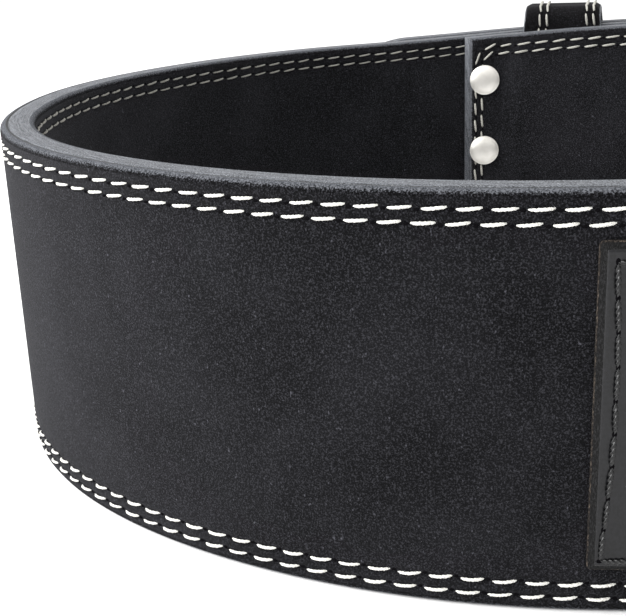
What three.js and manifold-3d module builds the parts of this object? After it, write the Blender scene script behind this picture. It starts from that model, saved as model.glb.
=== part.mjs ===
// Weightlifting belt, standing on its lower edge with its buckle fastened.
// Millimetres, +Z up, -Y is the back of the waist, +Y is the front with the buckle.
// The strap starts at its rounded end outside the front wall, runs right, round the back and the left
// end, and comes back to the buckle's bar, where it folds to the inside and ends in a riveted flap.
// A place on the belt is (along, out, up): along the outer face from the buckle's bar, clockwise seen
// from above; out from the outer face; and up from the floor.

import * as THREE from 'three';
import { mergeVertices } from 'three/addons/utils/BufferGeometryUtils.js';
import Module from 'manifold-3d';

// Strap
const STRAP_HEIGHT = 100;
const STRAP_THICKNESS = 10.5;
const EDGE_ROUNDING = 1.7;
const FOLD_THICKNESS = 4.5;
const SKIVE_LENGTH = 13;
const FLAP_LENGTH = 100;
const TONGUE_LENGTH = 160;
const TONGUE_CORNER_RADIUS = 36;
const TONGUE_CLEARANCE = 2;
const FLAP_END_GAP = 0.6;

// Loop, seen from above
const LOOP_HALF_LENGTH = 199.5;
const LOOP_HALF_DEPTH = 153;
const LOOP_SQUARENESS = 2.21;
const LOOP_TURN_DEG = 2.4;
const LOOP_WAVES = [
  { turns: 2, cosine: -0.011, sine: -0.016 },
  { turns: 3, cosine: 0.013, sine: -0.008 },
  { turns: 4, cosine: -0.002, sine: 0.014 },
  { turns: 5, cosine: -0.012, sine: 0.004 },
];
const BAR_ANGLE_DEG = 63.2;
const LIFT_REACH = 150;

// Holes
const HOLE_DIAMETER = 9;
const HOLE_PITCH = 28;
const HOLES_TOWARDS_END = 3;
const HOLES_TOWARDS_BACK = 6;
const PRONG_HOLE_ALONG = 17;

// Buckle
const BAR_DIAMETER = 5.6;
const FRAME_END_CLEARANCE = 1;
const FRAME_REACH = 46;
const PRONG_THICKNESS = 5;
const PRONG_WIDTH = 7;
const PRONG_RING_WALL = 1.8;
const PRONG_TIP_REACH = 6;
const PRONG_CLEARANCE = 0.6;
const PRONG_SEAT = 1;
const PRONG_ARCH = 2.4;
const PRONG_BEND = 0.6;
const PRONG_TIP_DROP = 0.5;
const PRONG_CORNER_RADIUS = 1.2;
const PRONG_TAPER = 0.25;

// Keeper
const KEEPER_WIDTH = 36;
const KEEPER_THICKNESS = 2.4;
const KEEPER_TOP_ROOM = 6.8;
const KEEPER_FROM_FLAP_END = 26.2;
const KEEPER_CORNER_RADIUS = 6;
const KEEPER_EDGE_DROP = 3.5;
const KEEPER_TOP_NARROWING = 0.07;
const KEEPER_DROOP = 0.8;
const KEEPER_DROOP_START = 0.85;

// Rivets
const RIVET_CAP_DIAMETER = 13;
const RIVET_DOME = 2.6;
const RIVET_BACK_DIAMETER = 10;
const RIVET_BACK_THICKNESS = 1;
const RIVET_SHANK_DIAMETER = 4.8;
const RIVET_FROM_FLAP_END = 8.7;
const RIVET_FROM_BAR = 20;
const RIVETS_ACROSS = 3;
const RIVET_PITCH = 31.5;

// Patch on the back
const PATCH_WIDTH = 100;
const PATCH_HEIGHT = 77.4;
const PATCH_RISE = 0.7;
const PATCH_THICKNESS = 2;
const PATCH_BORDER = 1.6;
const PATCH_BORDER_THICKNESS = 0.9;
const BAR_TO_PATCH = 486.9;

// Clearance between pieces that touch, and the spacing of the sections
const FIT = 0.3;
const SECTION_SPACING = 9;
const CLOSE_SPACING = 4;
const CORNER_STEPS = 2;
const ROUND_SIDES = 12;
const CUT_MARGIN = 1;

const foldRadius = BAR_DIAMETER / 2 + FIT;
const strapMiddle = STRAP_HEIGHT / 2;
const buckleLift = FRAME_END_CLEARANCE + BAR_DIAMETER;
const frameCornerRadius = FRAME_END_CLEARANCE + BAR_DIAMETER / 2;
const keeperGap = KEEPER_THICKNESS + 2 * FIT;
const keeperStart = -FLAP_LENGTH + KEEPER_FROM_FLAP_END;
const keeperEnd = keeperStart + KEEPER_WIDTH;
const rivetReach = RIVET_CAP_DIAMETER / 2 + FIT;

const wasm = await Module();
wasm.setup();

// A smooth curve through the rows of a table, with no overshoot between them.
function tableCurve(rows, argument, value) {
  const xs = rows.map((row) => row[argument]);
  const ys = rows.map((row) => row[value]);
  const last = xs.length - 1;
  const slopes = xs.slice(1).map((x, i) => (ys[i + 1] - ys[i]) / (x - xs[i]));
  const tangents = xs.map((x, i) => {
    if (i === 0 || i === last) return 0;
    if (slopes[i - 1] * slopes[i] <= 0) return 0;
    return (2 * slopes[i - 1] * slopes[i]) / (slopes[i - 1] + slopes[i]);
  });
  return (x) => {
    if (x <= xs[0]) return ys[0];
    if (x >= xs[last]) return ys[last];
    const i = xs.findIndex((edge) => edge > x) - 1;
    const width = xs[i + 1] - xs[i];
    const t = (x - xs[i]) / width;
    const fromStart = (1 + 2 * t) * (1 - t) ** 2 * ys[i] + t * (1 - t) ** 2 * width * tangents[i];
    const fromEnd = t * t * (3 - 2 * t) * ys[i + 1] + t * t * (t - 1) * width * tangents[i + 1];
    return fromStart + fromEnd;
  };
}

// Outer face of the loop by polar angle: a squarish oval with a few slow waves.
function loopPoint(angle) {
  const turned = angle + THREE.MathUtils.degToRad(LOOP_TURN_DEG);
  const across = Math.abs(Math.cos(turned) / LOOP_HALF_LENGTH) ** LOOP_SQUARENESS;
  const deep = Math.abs(Math.sin(turned) / LOOP_HALF_DEPTH) ** LOOP_SQUARENESS;
  const waves = LOOP_WAVES.reduce(
    (sum, wave) =>
      sum + wave.cosine * Math.cos(wave.turns * angle) + wave.sine * Math.sin(wave.turns * angle),
    1,
  );
  const radius = (across + deep) ** (-1 / LOOP_SQUARENESS) * waves;
  return new THREE.Vector2(radius * Math.cos(angle), radius * Math.sin(angle));
}

// Length along the loop, clockwise from the buckle's bar.
const LOOP_SAMPLES = 2880;
const loopAngles = [];
const loopLengths = [];
for (let i = 0; i <= LOOP_SAMPLES; i += 1) {
  const angle = THREE.MathUtils.degToRad(BAR_ANGLE_DEG) - (i / LOOP_SAMPLES) * 2 * Math.PI;
  const step = i === 0 ? 0 : loopPoint(angle).distanceTo(loopPoint(loopAngles[i - 1]));
  loopAngles.push(angle);
  loopLengths.push(i === 0 ? 0 : loopLengths[i - 1] + step);
}
const loopLength = loopLengths[LOOP_SAMPLES];

function angleAt(along) {
  const wrapped = THREE.MathUtils.euclideanModulo(along, loopLength);
  let low = 0;
  let high = LOOP_SAMPLES;
  while (high - low > 1) {
    const middle = Math.floor((low + high) / 2);
    if (loopLengths[middle] <= wrapped) low = middle;
    else high = middle;
  }
  const t = (wrapped - loopLengths[low]) / (loopLengths[high] - loopLengths[low]);
  return loopAngles[low] + t * (loopAngles[high] - loopAngles[low]);
}

function outwardAt(along) {
  const angle = angleAt(along);
  const nudge = 1e-4;
  const step = loopPoint(angle + nudge).sub(loopPoint(angle - nudge)).normalize();
  return new THREE.Vector2(step.y, -step.x);
}

function tangentAt(along) {
  const outward = outwardAt(along);
  return new THREE.Vector2(outward.y, -outward.x);
}

function planAt(along, out) {
  return loopPoint(angleAt(along)).addScaledVector(outwardAt(along), out);
}

function place(along, out, up) {
  const plan = planAt(along, out);
  return new THREE.Vector3(plan.x, plan.y, up);
}

// The buckle's frame is taller than the strap, so it carries the strap a little above the floor there.
function liftAt(along) {
  const fromBar = Math.min(Math.abs(along), Math.abs(loopLength - along));
  const share = Math.min(fromBar / LIFT_REACH, 1);
  return buckleLift * Math.cos((share * Math.PI) / 2) ** 2;
}

// Gap between strap and flap: the bar's size at the fold, the keeper's from the first rivets to past
// the keeper, then closed under the caps of the last rivets.
const flapGap = tableCurve(
  [
    { fromBar: 0, gap: 2 * foldRadius },
    { fromBar: RIVET_FROM_BAR - rivetReach, gap: keeperGap },
    { fromBar: -keeperStart + FIT, gap: keeperGap },
    { fromBar: FLAP_LENGTH - RIVET_FROM_FLAP_END - rivetReach, gap: FLAP_END_GAP },
  ],
  'fromBar',
  'gap',
);

// Leather is pared down towards the fold.
const paredThickness = tableCurve(
  [
    { fromBar: 0, thickness: FOLD_THICKNESS },
    { fromBar: SKIVE_LENGTH, thickness: STRAP_THICKNESS },
  ],
  'fromBar',
  'thickness',
);

// Inner face of the strap's free end: outside the front wall, over the fold, under the frame, home.
const tongueInnerFace = tableCurve(
  [
    { along: -SKIVE_LENGTH, out: TONGUE_CLEARANCE },
    { along: 0.22 * FRAME_REACH, out: -0.3 * STRAP_THICKNESS },
    { along: FRAME_REACH, out: -0.72 * STRAP_THICKNESS },
    { along: 2.6 * FRAME_REACH, out: -STRAP_THICKNESS },
  ],
  'along',
  'out',
);

// Solids
function toManifold(geometry) {
  const bare = geometry.clone();
  bare.deleteAttribute('normal');
  bare.deleteAttribute('uv');
  const merged = mergeVertices(bare, 1e-4);
  const vertProperties = new Float32Array(merged.attributes.position.array);
  const triVerts = new Uint32Array(merged.index.array);
  return new wasm.Manifold(new wasm.Mesh({ numProp: 3, vertProperties, triVerts }));
}

function toGeometry(solid) {
  const mesh = solid.getMesh();
  const geometry = new THREE.BufferGeometry();
  geometry.setAttribute('position', new THREE.BufferAttribute(new Float32Array(mesh.vertProperties), 3));
  geometry.setIndex(new THREE.BufferAttribute(new Uint32Array(mesh.triVerts), 1));
  geometry.computeVertexNormals();
  return geometry;
}

function signedVolume(points, faces) {
  const cross = new THREE.Vector3();
  return faces.reduce(
    (sum, [a, b, c]) => sum + points[a].dot(cross.crossVectors(points[b], points[c])) / 6,
    0,
  );
}

function meshFrom(points, faces) {
  const outward = signedVolume(points, faces) > 0 ? faces : faces.map(([a, b, c]) => [a, c, b]);
  const geometry = new THREE.BufferGeometry();
  const coordinates = points.flatMap((p) => [p.x, p.y, p.z]);
  geometry.setAttribute('position', new THREE.Float32BufferAttribute(coordinates, 3));
  geometry.setIndex(outward.flat());
  geometry.computeVertexNormals();
  return geometry;
}

function bridge(faces, from, to, count) {
  for (let i = 0; i < count; i += 1) {
    const next = (i + 1) % count;
    faces.push([from + i, from + next, to + next], [from + i, to + next, to + i]);
  }
}

// Skin over a row of equal rings, closed at both ends by fans, or joined end to end.
function loft(rings, joined = false) {
  const count = rings[0].length;
  const points = rings.flat();
  const faces = [];
  for (let i = 0; i + 1 < rings.length; i += 1) bridge(faces, i * count, (i + 1) * count, count);
  if (joined) {
    bridge(faces, (rings.length - 1) * count, 0, count);
  } else {
    const end = (rings.length - 1) * count;
    for (let i = 1; i + 1 < count; i += 1) {
      faces.push([0, i + 1, i], [end, end + i, end + i + 1]);
    }
  }
  return meshFrom(points, faces);
}

// Wall between an outer and an inner row of rings, open in the middle.
function loftWall(outerRings, innerRings) {
  const count = outerRings[0].length;
  const rows = outerRings.length;
  const points = [...outerRings.flat(), ...innerRings.flat()];
  const inner = rows * count;
  const faces = [];
  for (let i = 0; i + 1 < rows; i += 1) {
    bridge(faces, i * count, (i + 1) * count, count);
    bridge(faces, inner + (i + 1) * count, inner + i * count, count);
  }
  bridge(faces, inner, 0, count);
  bridge(faces, (rows - 1) * count, inner + (rows - 1) * count, count);
  return meshFrom(points, faces);
}

// Rectangle with rounded corners, as [across, up] pairs.
function roundedRectangle(width, height, radius, steps) {
  const corners = [
    { x: width - radius, y: radius, start: -90 },
    { x: width - radius, y: height - radius, start: 0 },
    { x: radius, y: height - radius, start: 90 },
    { x: radius, y: radius, start: 180 },
  ];
  return corners.flatMap(({ x, y, start }) =>
    Array.from({ length: steps + 1 }, (unused, i) => {
      const angle = THREE.MathUtils.degToRad(start + (90 * i) / steps);
      return [x + radius * Math.cos(angle), y + radius * Math.sin(angle)];
    }),
  );
}

function spread(start, end, spacing) {
  const steps = Math.max(1, Math.round(Math.abs(end - start) / spacing));
  return Array.from({ length: steps + 1 }, (unused, i) => start + ((end - start) * i) / steps);
}

// One section of the strap: base is its inner face, facing points through the leather.
function strapRing(base, facing, thickness, low, high) {
  return roundedRectangle(thickness, high - low, EDGE_ROUNDING, CORNER_STEPS).map(
    ([through, up]) => new THREE.Vector3(base.x + facing.x * through, base.y + facing.y * through, low + up),
  );
}

function tongueRing(along) {
  const fromEnd = along + TONGUE_LENGTH;
  const intoCorner = Math.max(TONGUE_CORNER_RADIUS - fromEnd, 0);
  const drop = TONGUE_CORNER_RADIUS - Math.sqrt(TONGUE_CORNER_RADIUS ** 2 - intoCorner ** 2);
  const low = liftAt(along) + drop;
  const high = liftAt(along) + STRAP_HEIGHT - drop;
  return strapRing(planAt(along, tongueInnerFace(along)), outwardAt(along), STRAP_THICKNESS, low, high);
}

function bodyRing(along) {
  const thickness = paredThickness(loopLength - along);
  const low = liftAt(along);
  return strapRing(planAt(along, -STRAP_THICKNESS), outwardAt(along), thickness, low, low + STRAP_HEIGHT);
}

function foldRing(angle) {
  const centre = planAt(0, -STRAP_THICKNESS - foldRadius);
  const facing = outwardAt(0).multiplyScalar(Math.cos(angle)).addScaledVector(tangentAt(0), Math.sin(angle));
  const base = centre.clone().addScaledVector(facing, foldRadius);
  return strapRing(base, facing, FOLD_THICKNESS, buckleLift, buckleLift + STRAP_HEIGHT);
}

function flapRing(fromBar) {
  const out = -STRAP_THICKNESS - flapGap(fromBar);
  const inward = outwardAt(-fromBar).negate();
  const low = liftAt(-fromBar);
  return strapRing(planAt(-fromBar, out), inward, paredThickness(fromBar), low, low + STRAP_HEIGHT);
}

function strapSolid() {
  const cornerSteps = 9;
  const roundEnd = Array.from(
    { length: cornerSteps },
    (unused, i) => TONGUE_CORNER_RADIUS * (1 - Math.cos((0.5 * Math.PI * i) / cornerSteps)),
  );
  const tongue = [
    ...roundEnd.map((fromEnd) => fromEnd - TONGUE_LENGTH),
    ...spread(TONGUE_CORNER_RADIUS - TONGUE_LENGTH, -SKIVE_LENGTH - CLOSE_SPACING, SECTION_SPACING),
    ...spread(-SKIVE_LENGTH, FRAME_REACH, CLOSE_SPACING),
    ...spread(FRAME_REACH + CLOSE_SPACING, LIFT_REACH, SECTION_SPACING),
  ];
  const body = [
    ...spread(LIFT_REACH + SECTION_SPACING, loopLength - SKIVE_LENGTH - CLOSE_SPACING, SECTION_SPACING),
    ...spread(loopLength - SKIVE_LENGTH, loopLength - CLOSE_SPACING, CLOSE_SPACING),
  ];
  const foldSteps = 8;
  const fold = Array.from({ length: foldSteps + 1 }, (unused, i) => (Math.PI * i) / foldSteps);
  const pastKeeper = -keeperStart + FIT;
  const lastRivets = FLAP_LENGTH - RIVET_FROM_FLAP_END - rivetReach;
  const flap = [
    ...spread(CLOSE_SPACING, SKIVE_LENGTH, CLOSE_SPACING),
    ...spread(SKIVE_LENGTH, pastKeeper, SECTION_SPACING).slice(1),
    ...spread(pastKeeper, lastRivets, CLOSE_SPACING).slice(1),
    ...spread(lastRivets, FLAP_LENGTH, CLOSE_SPACING).slice(1),
  ];
  return toManifold(
    loft([...tongue.map(tongueRing), ...body.map(bodyRing), ...fold.map(foldRing), ...flap.map(flapRing)]),
  );
}

// Round pin across the strap at a place, from one distance out to another.
function crossPin(along, up, from, to, radius) {
  const outward = outwardAt(along);
  const axis = new THREE.Vector3(outward.x, outward.y, 0);
  const pin = new THREE.CylinderGeometry(radius, radius, to - from, ROUND_SIDES);
  pin.applyQuaternion(new THREE.Quaternion().setFromUnitVectors(new THREE.Vector3(0, 1, 0), axis));
  const middle = place(along, (from + to) / 2, up);
  return pin.translate(middle.x, middle.y, middle.z);
}

// Slot through the fold for the prong's ring, between the fold's outside and the strap's free end.
function foldSlot() {
  const halfLength = BAR_DIAMETER / 2 + PRONG_RING_WALL + PRONG_CLEARANCE + FOLD_THICKNESS;
  const outer = spread(-halfLength, halfLength, CLOSE_SPACING).map((along) => {
    const pared = -STRAP_THICKNESS + paredThickness(Math.abs(along));
    return planAt(along, (pared + tongueInnerFace(along)) / 2);
  });
  const deep = -STRAP_THICKNESS - 2 * foldRadius - STRAP_THICKNESS;
  const outline = [...outer, planAt(halfLength, deep), planAt(-halfLength, deep)];
  const height = PRONG_WIDTH + 2 * PRONG_RING_WALL + 2 * PRONG_CLEARANCE;
  const slot = new THREE.ExtrudeGeometry(new THREE.Shape(outline), { depth: height, bevelEnabled: false });
  return slot.translate(0, 0, buckleLift + strapMiddle - height / 2);
}

// Buckle: a round-bar frame, with the prong from its bar, through the strap, to its far side.
function framePlaces() {
  const bar = planAt(0, -STRAP_THICKNESS - foldRadius);
  const overTongue = tongueInnerFace(FRAME_REACH) + STRAP_THICKNESS + FIT + BAR_DIAMETER / 2;
  const far = planAt(FRAME_REACH, overTongue);
  return { bar, far, farOut: overTongue };
}

function frameGeometry() {
  const { bar, far } = framePlaces();
  const across = far.clone().sub(bar);
  const reach = across.length();
  across.normalize();
  const sideways = new THREE.Vector2(-across.y, across.x);
  const height = STRAP_HEIGHT + 2 * FRAME_END_CLEARANCE + BAR_DIAMETER;
  const low = BAR_DIAMETER / 2;
  const radius = BAR_DIAMETER / 2;
  const cornerSteps = 5;
  const centreLine = roundedRectangle(reach, height, frameCornerRadius, cornerSteps);
  const rings = centreLine.map(([x, z], i) => {
    const before = centreLine[(i + centreLine.length - 1) % centreLine.length];
    const after = centreLine[(i + 1) % centreLine.length];
    const run = new THREE.Vector2(after[0] - before[0], after[1] - before[1]).normalize();
    return Array.from({ length: ROUND_SIDES }, (unused, k) => {
      const turn = (2 * Math.PI * k) / ROUND_SIDES;
      const inPlane = x + run.y * radius * Math.cos(turn);
      const up = z - run.x * radius * Math.cos(turn);
      const off = radius * Math.sin(turn);
      return new THREE.Vector3(
        bar.x + across.x * inPlane + sideways.x * off,
        bar.y + across.y * inPlane + sideways.y * off,
        low + up,
      );
    });
  });
  return loft(rings, true);
}

// Prong along its bent route; the same shape, made larger, clears its way through the strap.
function prongGeometry(extra) {
  const { bar, farOut } = framePlaces();
  const overBar = farOut + BAR_DIAMETER / 2 + PRONG_THICKNESS / 2 - PRONG_SEAT;
  const midway = tongueInnerFace(PRONG_HOLE_ALONG) + STRAP_THICKNESS / 2;
  const route = new THREE.SplineCurve([
    bar,
    planAt(PRONG_HOLE_ALONG * 0.5, (midway - STRAP_THICKNESS - foldRadius) / 2 - PRONG_BEND),
    planAt(PRONG_HOLE_ALONG, midway),
    planAt((PRONG_HOLE_ALONG + FRAME_REACH) / 2, (midway + overBar) / 2 + PRONG_ARCH),
    planAt(FRAME_REACH, overBar),
    planAt(FRAME_REACH + PRONG_TIP_REACH, overBar - PRONG_TIP_DROP),
  ]);
  const steps = 16;
  const middle = buckleLift + strapMiddle;
  const rings = Array.from({ length: steps + 1 }, (unused, i) => {
    const t = i / steps;
    const centre = route.getPoint(t);
    const run = route.getTangent(t);
    const side = new THREE.Vector2(-run.y, run.x);
    const slim = 1 - PRONG_TAPER * t;
    const thickness = PRONG_THICKNESS * slim + 2 * extra;
    const width = PRONG_WIDTH * slim + 2 * extra;
    return roundedRectangle(thickness, width, PRONG_CORNER_RADIUS, 1).map(
      ([x, z]) =>
        new THREE.Vector3(
          centre.x + side.x * (x - thickness / 2),
          centre.y + side.y * (x - thickness / 2),
          middle + z - width / 2,
        ),
    );
  });
  return loft(rings);
}

function buckleGeometry() {
  const { bar } = framePlaces();
  const ringHeight = PRONG_WIDTH + 2 * PRONG_RING_WALL;
  const ring = new THREE.CylinderGeometry(
    BAR_DIAMETER / 2 + PRONG_RING_WALL,
    BAR_DIAMETER / 2 + PRONG_RING_WALL,
    ringHeight,
    ROUND_SIDES,
  );
  ring.rotateX(Math.PI / 2).translate(bar.x, bar.y, buckleLift + strapMiddle);
  return toGeometry(toManifold(frameGeometry()).add(toManifold(prongGeometry(0))).add(toManifold(ring)));
}

// Strap with its holes, the rivets' holes, the slot in the fold and the prong's way through.
const rivetColumns = [-FLAP_LENGTH + RIVET_FROM_FLAP_END, -RIVET_FROM_BAR];
const rivetPlaces = rivetColumns.flatMap((along) =>
  Array.from({ length: RIVETS_ACROSS }, (unused, i) => ({
    along,
    up: liftAt(along) + strapMiddle + RIVET_PITCH * ((RIVETS_ACROSS - 1) / 2 - i),
  })),
);

function flapInnerFace(along) {
  return -STRAP_THICKNESS - flapGap(-along) - paredThickness(-along);
}

function strapGeometry() {
  let strap = strapSolid();
  for (let i = -HOLES_TOWARDS_END; i <= HOLES_TOWARDS_BACK; i += 1) {
    const along = PRONG_HOLE_ALONG + i * HOLE_PITCH;
    const face = tongueInnerFace(along);
    const deep = along < PRONG_HOLE_ALONG ? face - TONGUE_CLEARANCE / 2 : face - CUT_MARGIN;
    const high = face + STRAP_THICKNESS + CUT_MARGIN;
    const hole = crossPin(along, liftAt(along) + strapMiddle, deep, high, HOLE_DIAMETER / 2);
    strap = strap.subtract(toManifold(hole));
  }
  rivetPlaces.forEach(({ along, up }) => {
    const deep = flapInnerFace(along) - CUT_MARGIN;
    const hole = crossPin(along, up, deep, TONGUE_CLEARANCE / 2, RIVET_SHANK_DIAMETER / 2 + FIT);
    strap = strap.subtract(toManifold(hole));
  });
  const prongWay = toManifold(prongGeometry(PRONG_CLEARANCE));
  return toGeometry(strap.subtract(toManifold(foldSlot())).subtract(prongWay));
}

// Keeper: a band that stands on the floor and goes round strap and free end, with room over them.
const keeperMiddle = (keeperStart + keeperEnd) / 2;
const keeperHeight = liftAt(keeperMiddle) + STRAP_HEIGHT + KEEPER_TOP_ROOM + KEEPER_THICKNESS;

function keeperRing(along, inset) {
  const inner = -STRAP_THICKNESS - FIT - KEEPER_THICKNESS;
  const outer = TONGUE_CLEARANCE + STRAP_THICKNESS + FIT + KEEPER_THICKNESS;
  const fromEdge = Math.min(along - keeperStart, keeperEnd - along);
  const corner = Math.max(1 - fromEdge / KEEPER_EDGE_DROP, 0);
  const drop = KEEPER_DROOP * KEEPER_EDGE_DROP * (1 - Math.sqrt(1 - corner ** 2));
  const radius = KEEPER_CORNER_RADIUS - inset;
  return roundedRectangle(outer - inner - 2 * inset, keeperHeight - 2 * inset, radius, 3).map(([x, z]) => {
    const share = (z + inset) / keeperHeight;
    const overTop = THREE.MathUtils.smoothstep(share, KEEPER_DROOP_START, 1);
    const shifted = keeperMiddle + (along - keeperMiddle) * (1 - KEEPER_TOP_NARROWING * overTop);
    return place(shifted, inner + inset + x, inset + z - drop * overTop);
  });
}

function keeperGeometry() {
  const edge = [0, 0.15, 0.4, 1].map((share) => share * KEEPER_EDGE_DROP);
  const stations = [
    ...edge.map((from) => keeperStart + from),
    ...spread(keeperStart + KEEPER_EDGE_DROP, keeperEnd - KEEPER_EDGE_DROP, SECTION_SPACING).slice(1, -1),
    ...edge.reverse().map((from) => keeperEnd - from),
  ];
  const outer = stations.map((along) => keeperRing(along, 0));
  const inner = stations.map((along) => keeperRing(along, KEEPER_THICKNESS));
  return loftWall(outer, inner);
}

// Rivet: domed cap inside, shank, thin cap outside; its axis points out of the belt.
function rivetGeometry(along) {
  const inside = flapInnerFace(along) - FIT;
  const outside = FIT;
  const capRadius = RIVET_CAP_DIAMETER / 2;
  const shankRadius = RIVET_SHANK_DIAMETER / 2;
  const dome = [0, 0.35, 0.65, 0.88, 1].map(
    (share) => new THREE.Vector2(capRadius * share, inside - RIVET_DOME * Math.sqrt(1 - 0.86 * share ** 2)),
  );
  return new THREE.LatheGeometry(
    [
      ...dome,
      new THREE.Vector2(capRadius, inside),
      new THREE.Vector2(shankRadius, inside),
      new THREE.Vector2(shankRadius, outside),
      new THREE.Vector2(RIVET_BACK_DIAMETER / 2, outside),
      new THREE.Vector2(RIVET_BACK_DIAMETER / 2, outside + RIVET_BACK_THICKNESS * 0.6),
      new THREE.Vector2(RIVET_BACK_DIAMETER * 0.35, outside + RIVET_BACK_THICKNESS),
      new THREE.Vector2(0, outside + RIVET_BACK_THICKNESS),
    ],
    ROUND_SIDES * 2,
  );
}

function rivetMesh({ along, up }, material) {
  const outward = outwardAt(along);
  const mesh = new THREE.Mesh(rivetGeometry(along), material);
  mesh.quaternion.setFromUnitVectors(new THREE.Vector3(0, 1, 0), new THREE.Vector3(outward.x, outward.y, 0));
  mesh.position.copy(place(along, 0, up));
  return mesh;
}

// Patch: a plate bent to the back of the strap, thinner along its border.
function patchRing(along, border, face) {
  const low = strapMiddle + PATCH_RISE - PATCH_HEIGHT / 2 + border;
  const high = strapMiddle + PATCH_RISE + PATCH_HEIGHT / 2 - border;
  const inset = PATCH_BORDER - border;
  const outline = [
    [FIT, low],
    [FIT + PATCH_BORDER_THICKNESS, low],
    [FIT + face, low + inset],
    [FIT + face, high - inset],
    [FIT + PATCH_BORDER_THICKNESS, high],
    [FIT, high],
  ];
  return outline.map(([out, up]) => place(along, out, up));
}

function patchGeometry() {
  const start = BAR_TO_PATCH - PATCH_WIDTH / 2;
  const end = BAR_TO_PATCH + PATCH_WIDTH / 2;
  const middle = spread(start + PATCH_BORDER, end - PATCH_BORDER, SECTION_SPACING);
  return loft([
    patchRing(start, 0, PATCH_BORDER_THICKNESS + 0.01),
    ...middle.map((along) => patchRing(along, 0, PATCH_THICKNESS)),
    patchRing(end, 0, PATCH_BORDER_THICKNESS + 0.01),
  ]);
}

// Finishes
const suede = new THREE.MeshStandardMaterial({ color: 0x2e2d2f, roughness: 0.95, metalness: 0 });
const keeperLeather = new THREE.MeshStandardMaterial({ color: 0x262527, roughness: 0.9, metalness: 0 });
const patchLeather = new THREE.MeshStandardMaterial({ color: 0x1c1b1d, roughness: 0.3, metalness: 0 });
const steel = new THREE.MeshStandardMaterial({ color: 0xd6d4cf, roughness: 0.25, metalness: 1 });

function named(name, mesh) {
  mesh.name = name;
  return mesh;
}

const belt = new THREE.Group();
belt.add(named('belt_strap', new THREE.Mesh(strapGeometry(), suede)));
belt.add(named('keeper_loop', new THREE.Mesh(keeperGeometry(), keeperLeather)));
belt.add(named('buckle', new THREE.Mesh(buckleGeometry(), steel)));
belt.add(named('back_patch', new THREE.Mesh(patchGeometry(), patchLeather)));
rivetPlaces.forEach((rivet, i) => belt.add(named(`rivet_${i + 1}`, rivetMesh(rivet, steel.clone()))));

// The origin is on the floor, under the middle of the belt.
const extent = new THREE.Box3().setFromObject(belt);
const centre = extent.getCenter(new THREE.Vector3());
belt.position.set(-centre.x, -centre.y, -extent.min.z);

export default belt;
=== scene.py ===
"""Weightlifting belt of thick black suede, buckled and standing on its lower edge.

The strap, its stitches, the keeper, the patch, the rivets and the buckle are built around the fixed
frame. Sizes are in millimetres, and every mesh is made in metres.
"""

import logging
import math
from dataclasses import dataclass, field
from enum import Enum

import bmesh
import bpy
import numpy as np
from mathutils import Matrix, Vector


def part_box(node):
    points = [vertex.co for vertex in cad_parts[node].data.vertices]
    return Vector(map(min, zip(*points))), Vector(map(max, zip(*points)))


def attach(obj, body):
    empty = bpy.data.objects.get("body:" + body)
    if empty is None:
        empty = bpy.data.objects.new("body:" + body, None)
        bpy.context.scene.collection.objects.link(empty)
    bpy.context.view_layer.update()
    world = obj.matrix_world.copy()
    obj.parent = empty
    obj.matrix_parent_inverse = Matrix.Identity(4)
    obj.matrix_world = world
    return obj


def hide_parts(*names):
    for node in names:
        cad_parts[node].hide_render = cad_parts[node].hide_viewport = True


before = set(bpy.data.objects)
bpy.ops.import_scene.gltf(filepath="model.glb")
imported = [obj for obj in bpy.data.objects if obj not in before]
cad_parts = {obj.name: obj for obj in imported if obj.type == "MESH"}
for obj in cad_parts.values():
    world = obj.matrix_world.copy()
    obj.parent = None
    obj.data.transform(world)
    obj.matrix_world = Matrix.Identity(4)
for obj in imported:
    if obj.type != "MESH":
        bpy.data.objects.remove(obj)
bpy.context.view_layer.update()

Socket = bpy.types.NodeSocket
Tree = bpy.types.NodeTree
Material = bpy.types.Material
Piece = bpy.types.Object
Array = np.ndarray
Row = tuple[Array, Array, bool]

MM = 0.001
FIT = 0.3
BODY = "root"
SURFACE_MAP = "UVMap"
FACE_NORMAL = "face_normal"
IS_HOLE = "is_hole"
EDGE_SHARE = "edge_share"
ROW_PITCH = "row_pitch"
LAYER_SHARE = "layer_share"
MATH = "ShaderNodeMath"
BUMP = "ShaderNodeBump"

log = logging.getLogger("belt")


# Colours and nodes


def linear(code: str) -> tuple[float, float, float, float]:
    """Turn an sRGB hex colour into linear light.

    Args:
        code: the colour as six hex digits.

    Returns:
        Red, green, blue and an alpha of one.
    """
    shares = [int(code[i : i + 2], 16) / 255 for i in (0, 2, 4)]
    light = [s / 12.92 if s <= 0.04045 else ((s + 0.055) / 1.055) ** 2.4 for s in shares]
    return light[0], light[1], light[2], 1.0


def fill(tree: Tree, node: bpy.types.Node, inputs: dict) -> None:
    """Set a node's inputs.

    Args:
        tree: the tree that the node is in.
        node: the node.
        inputs: for each input, by name or number, a value or the socket that feeds it.
    """
    for key, value in inputs.items():
        socket = node.inputs[key]
        if isinstance(value, Socket):
            tree.links.new(value, socket)
        else:
            socket.default_value = value


def add_node(tree: Tree, kind: str, inputs: dict | None = None, **settings: object) -> Socket:
    """Add a node with its settings, values and links.

    Args:
        tree: the tree that gets the node.
        kind: the node's type name.
        inputs: for each input, by name or number, a value or the socket that feeds it.
        settings: the node's own properties.

    Returns:
        The node's first output, which knows the node.
    """
    node = tree.nodes.new(kind)
    for name, value in settings.items():
        setattr(node, name, value)
    fill(tree, node, inputs or {})
    return node.outputs[0]


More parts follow.
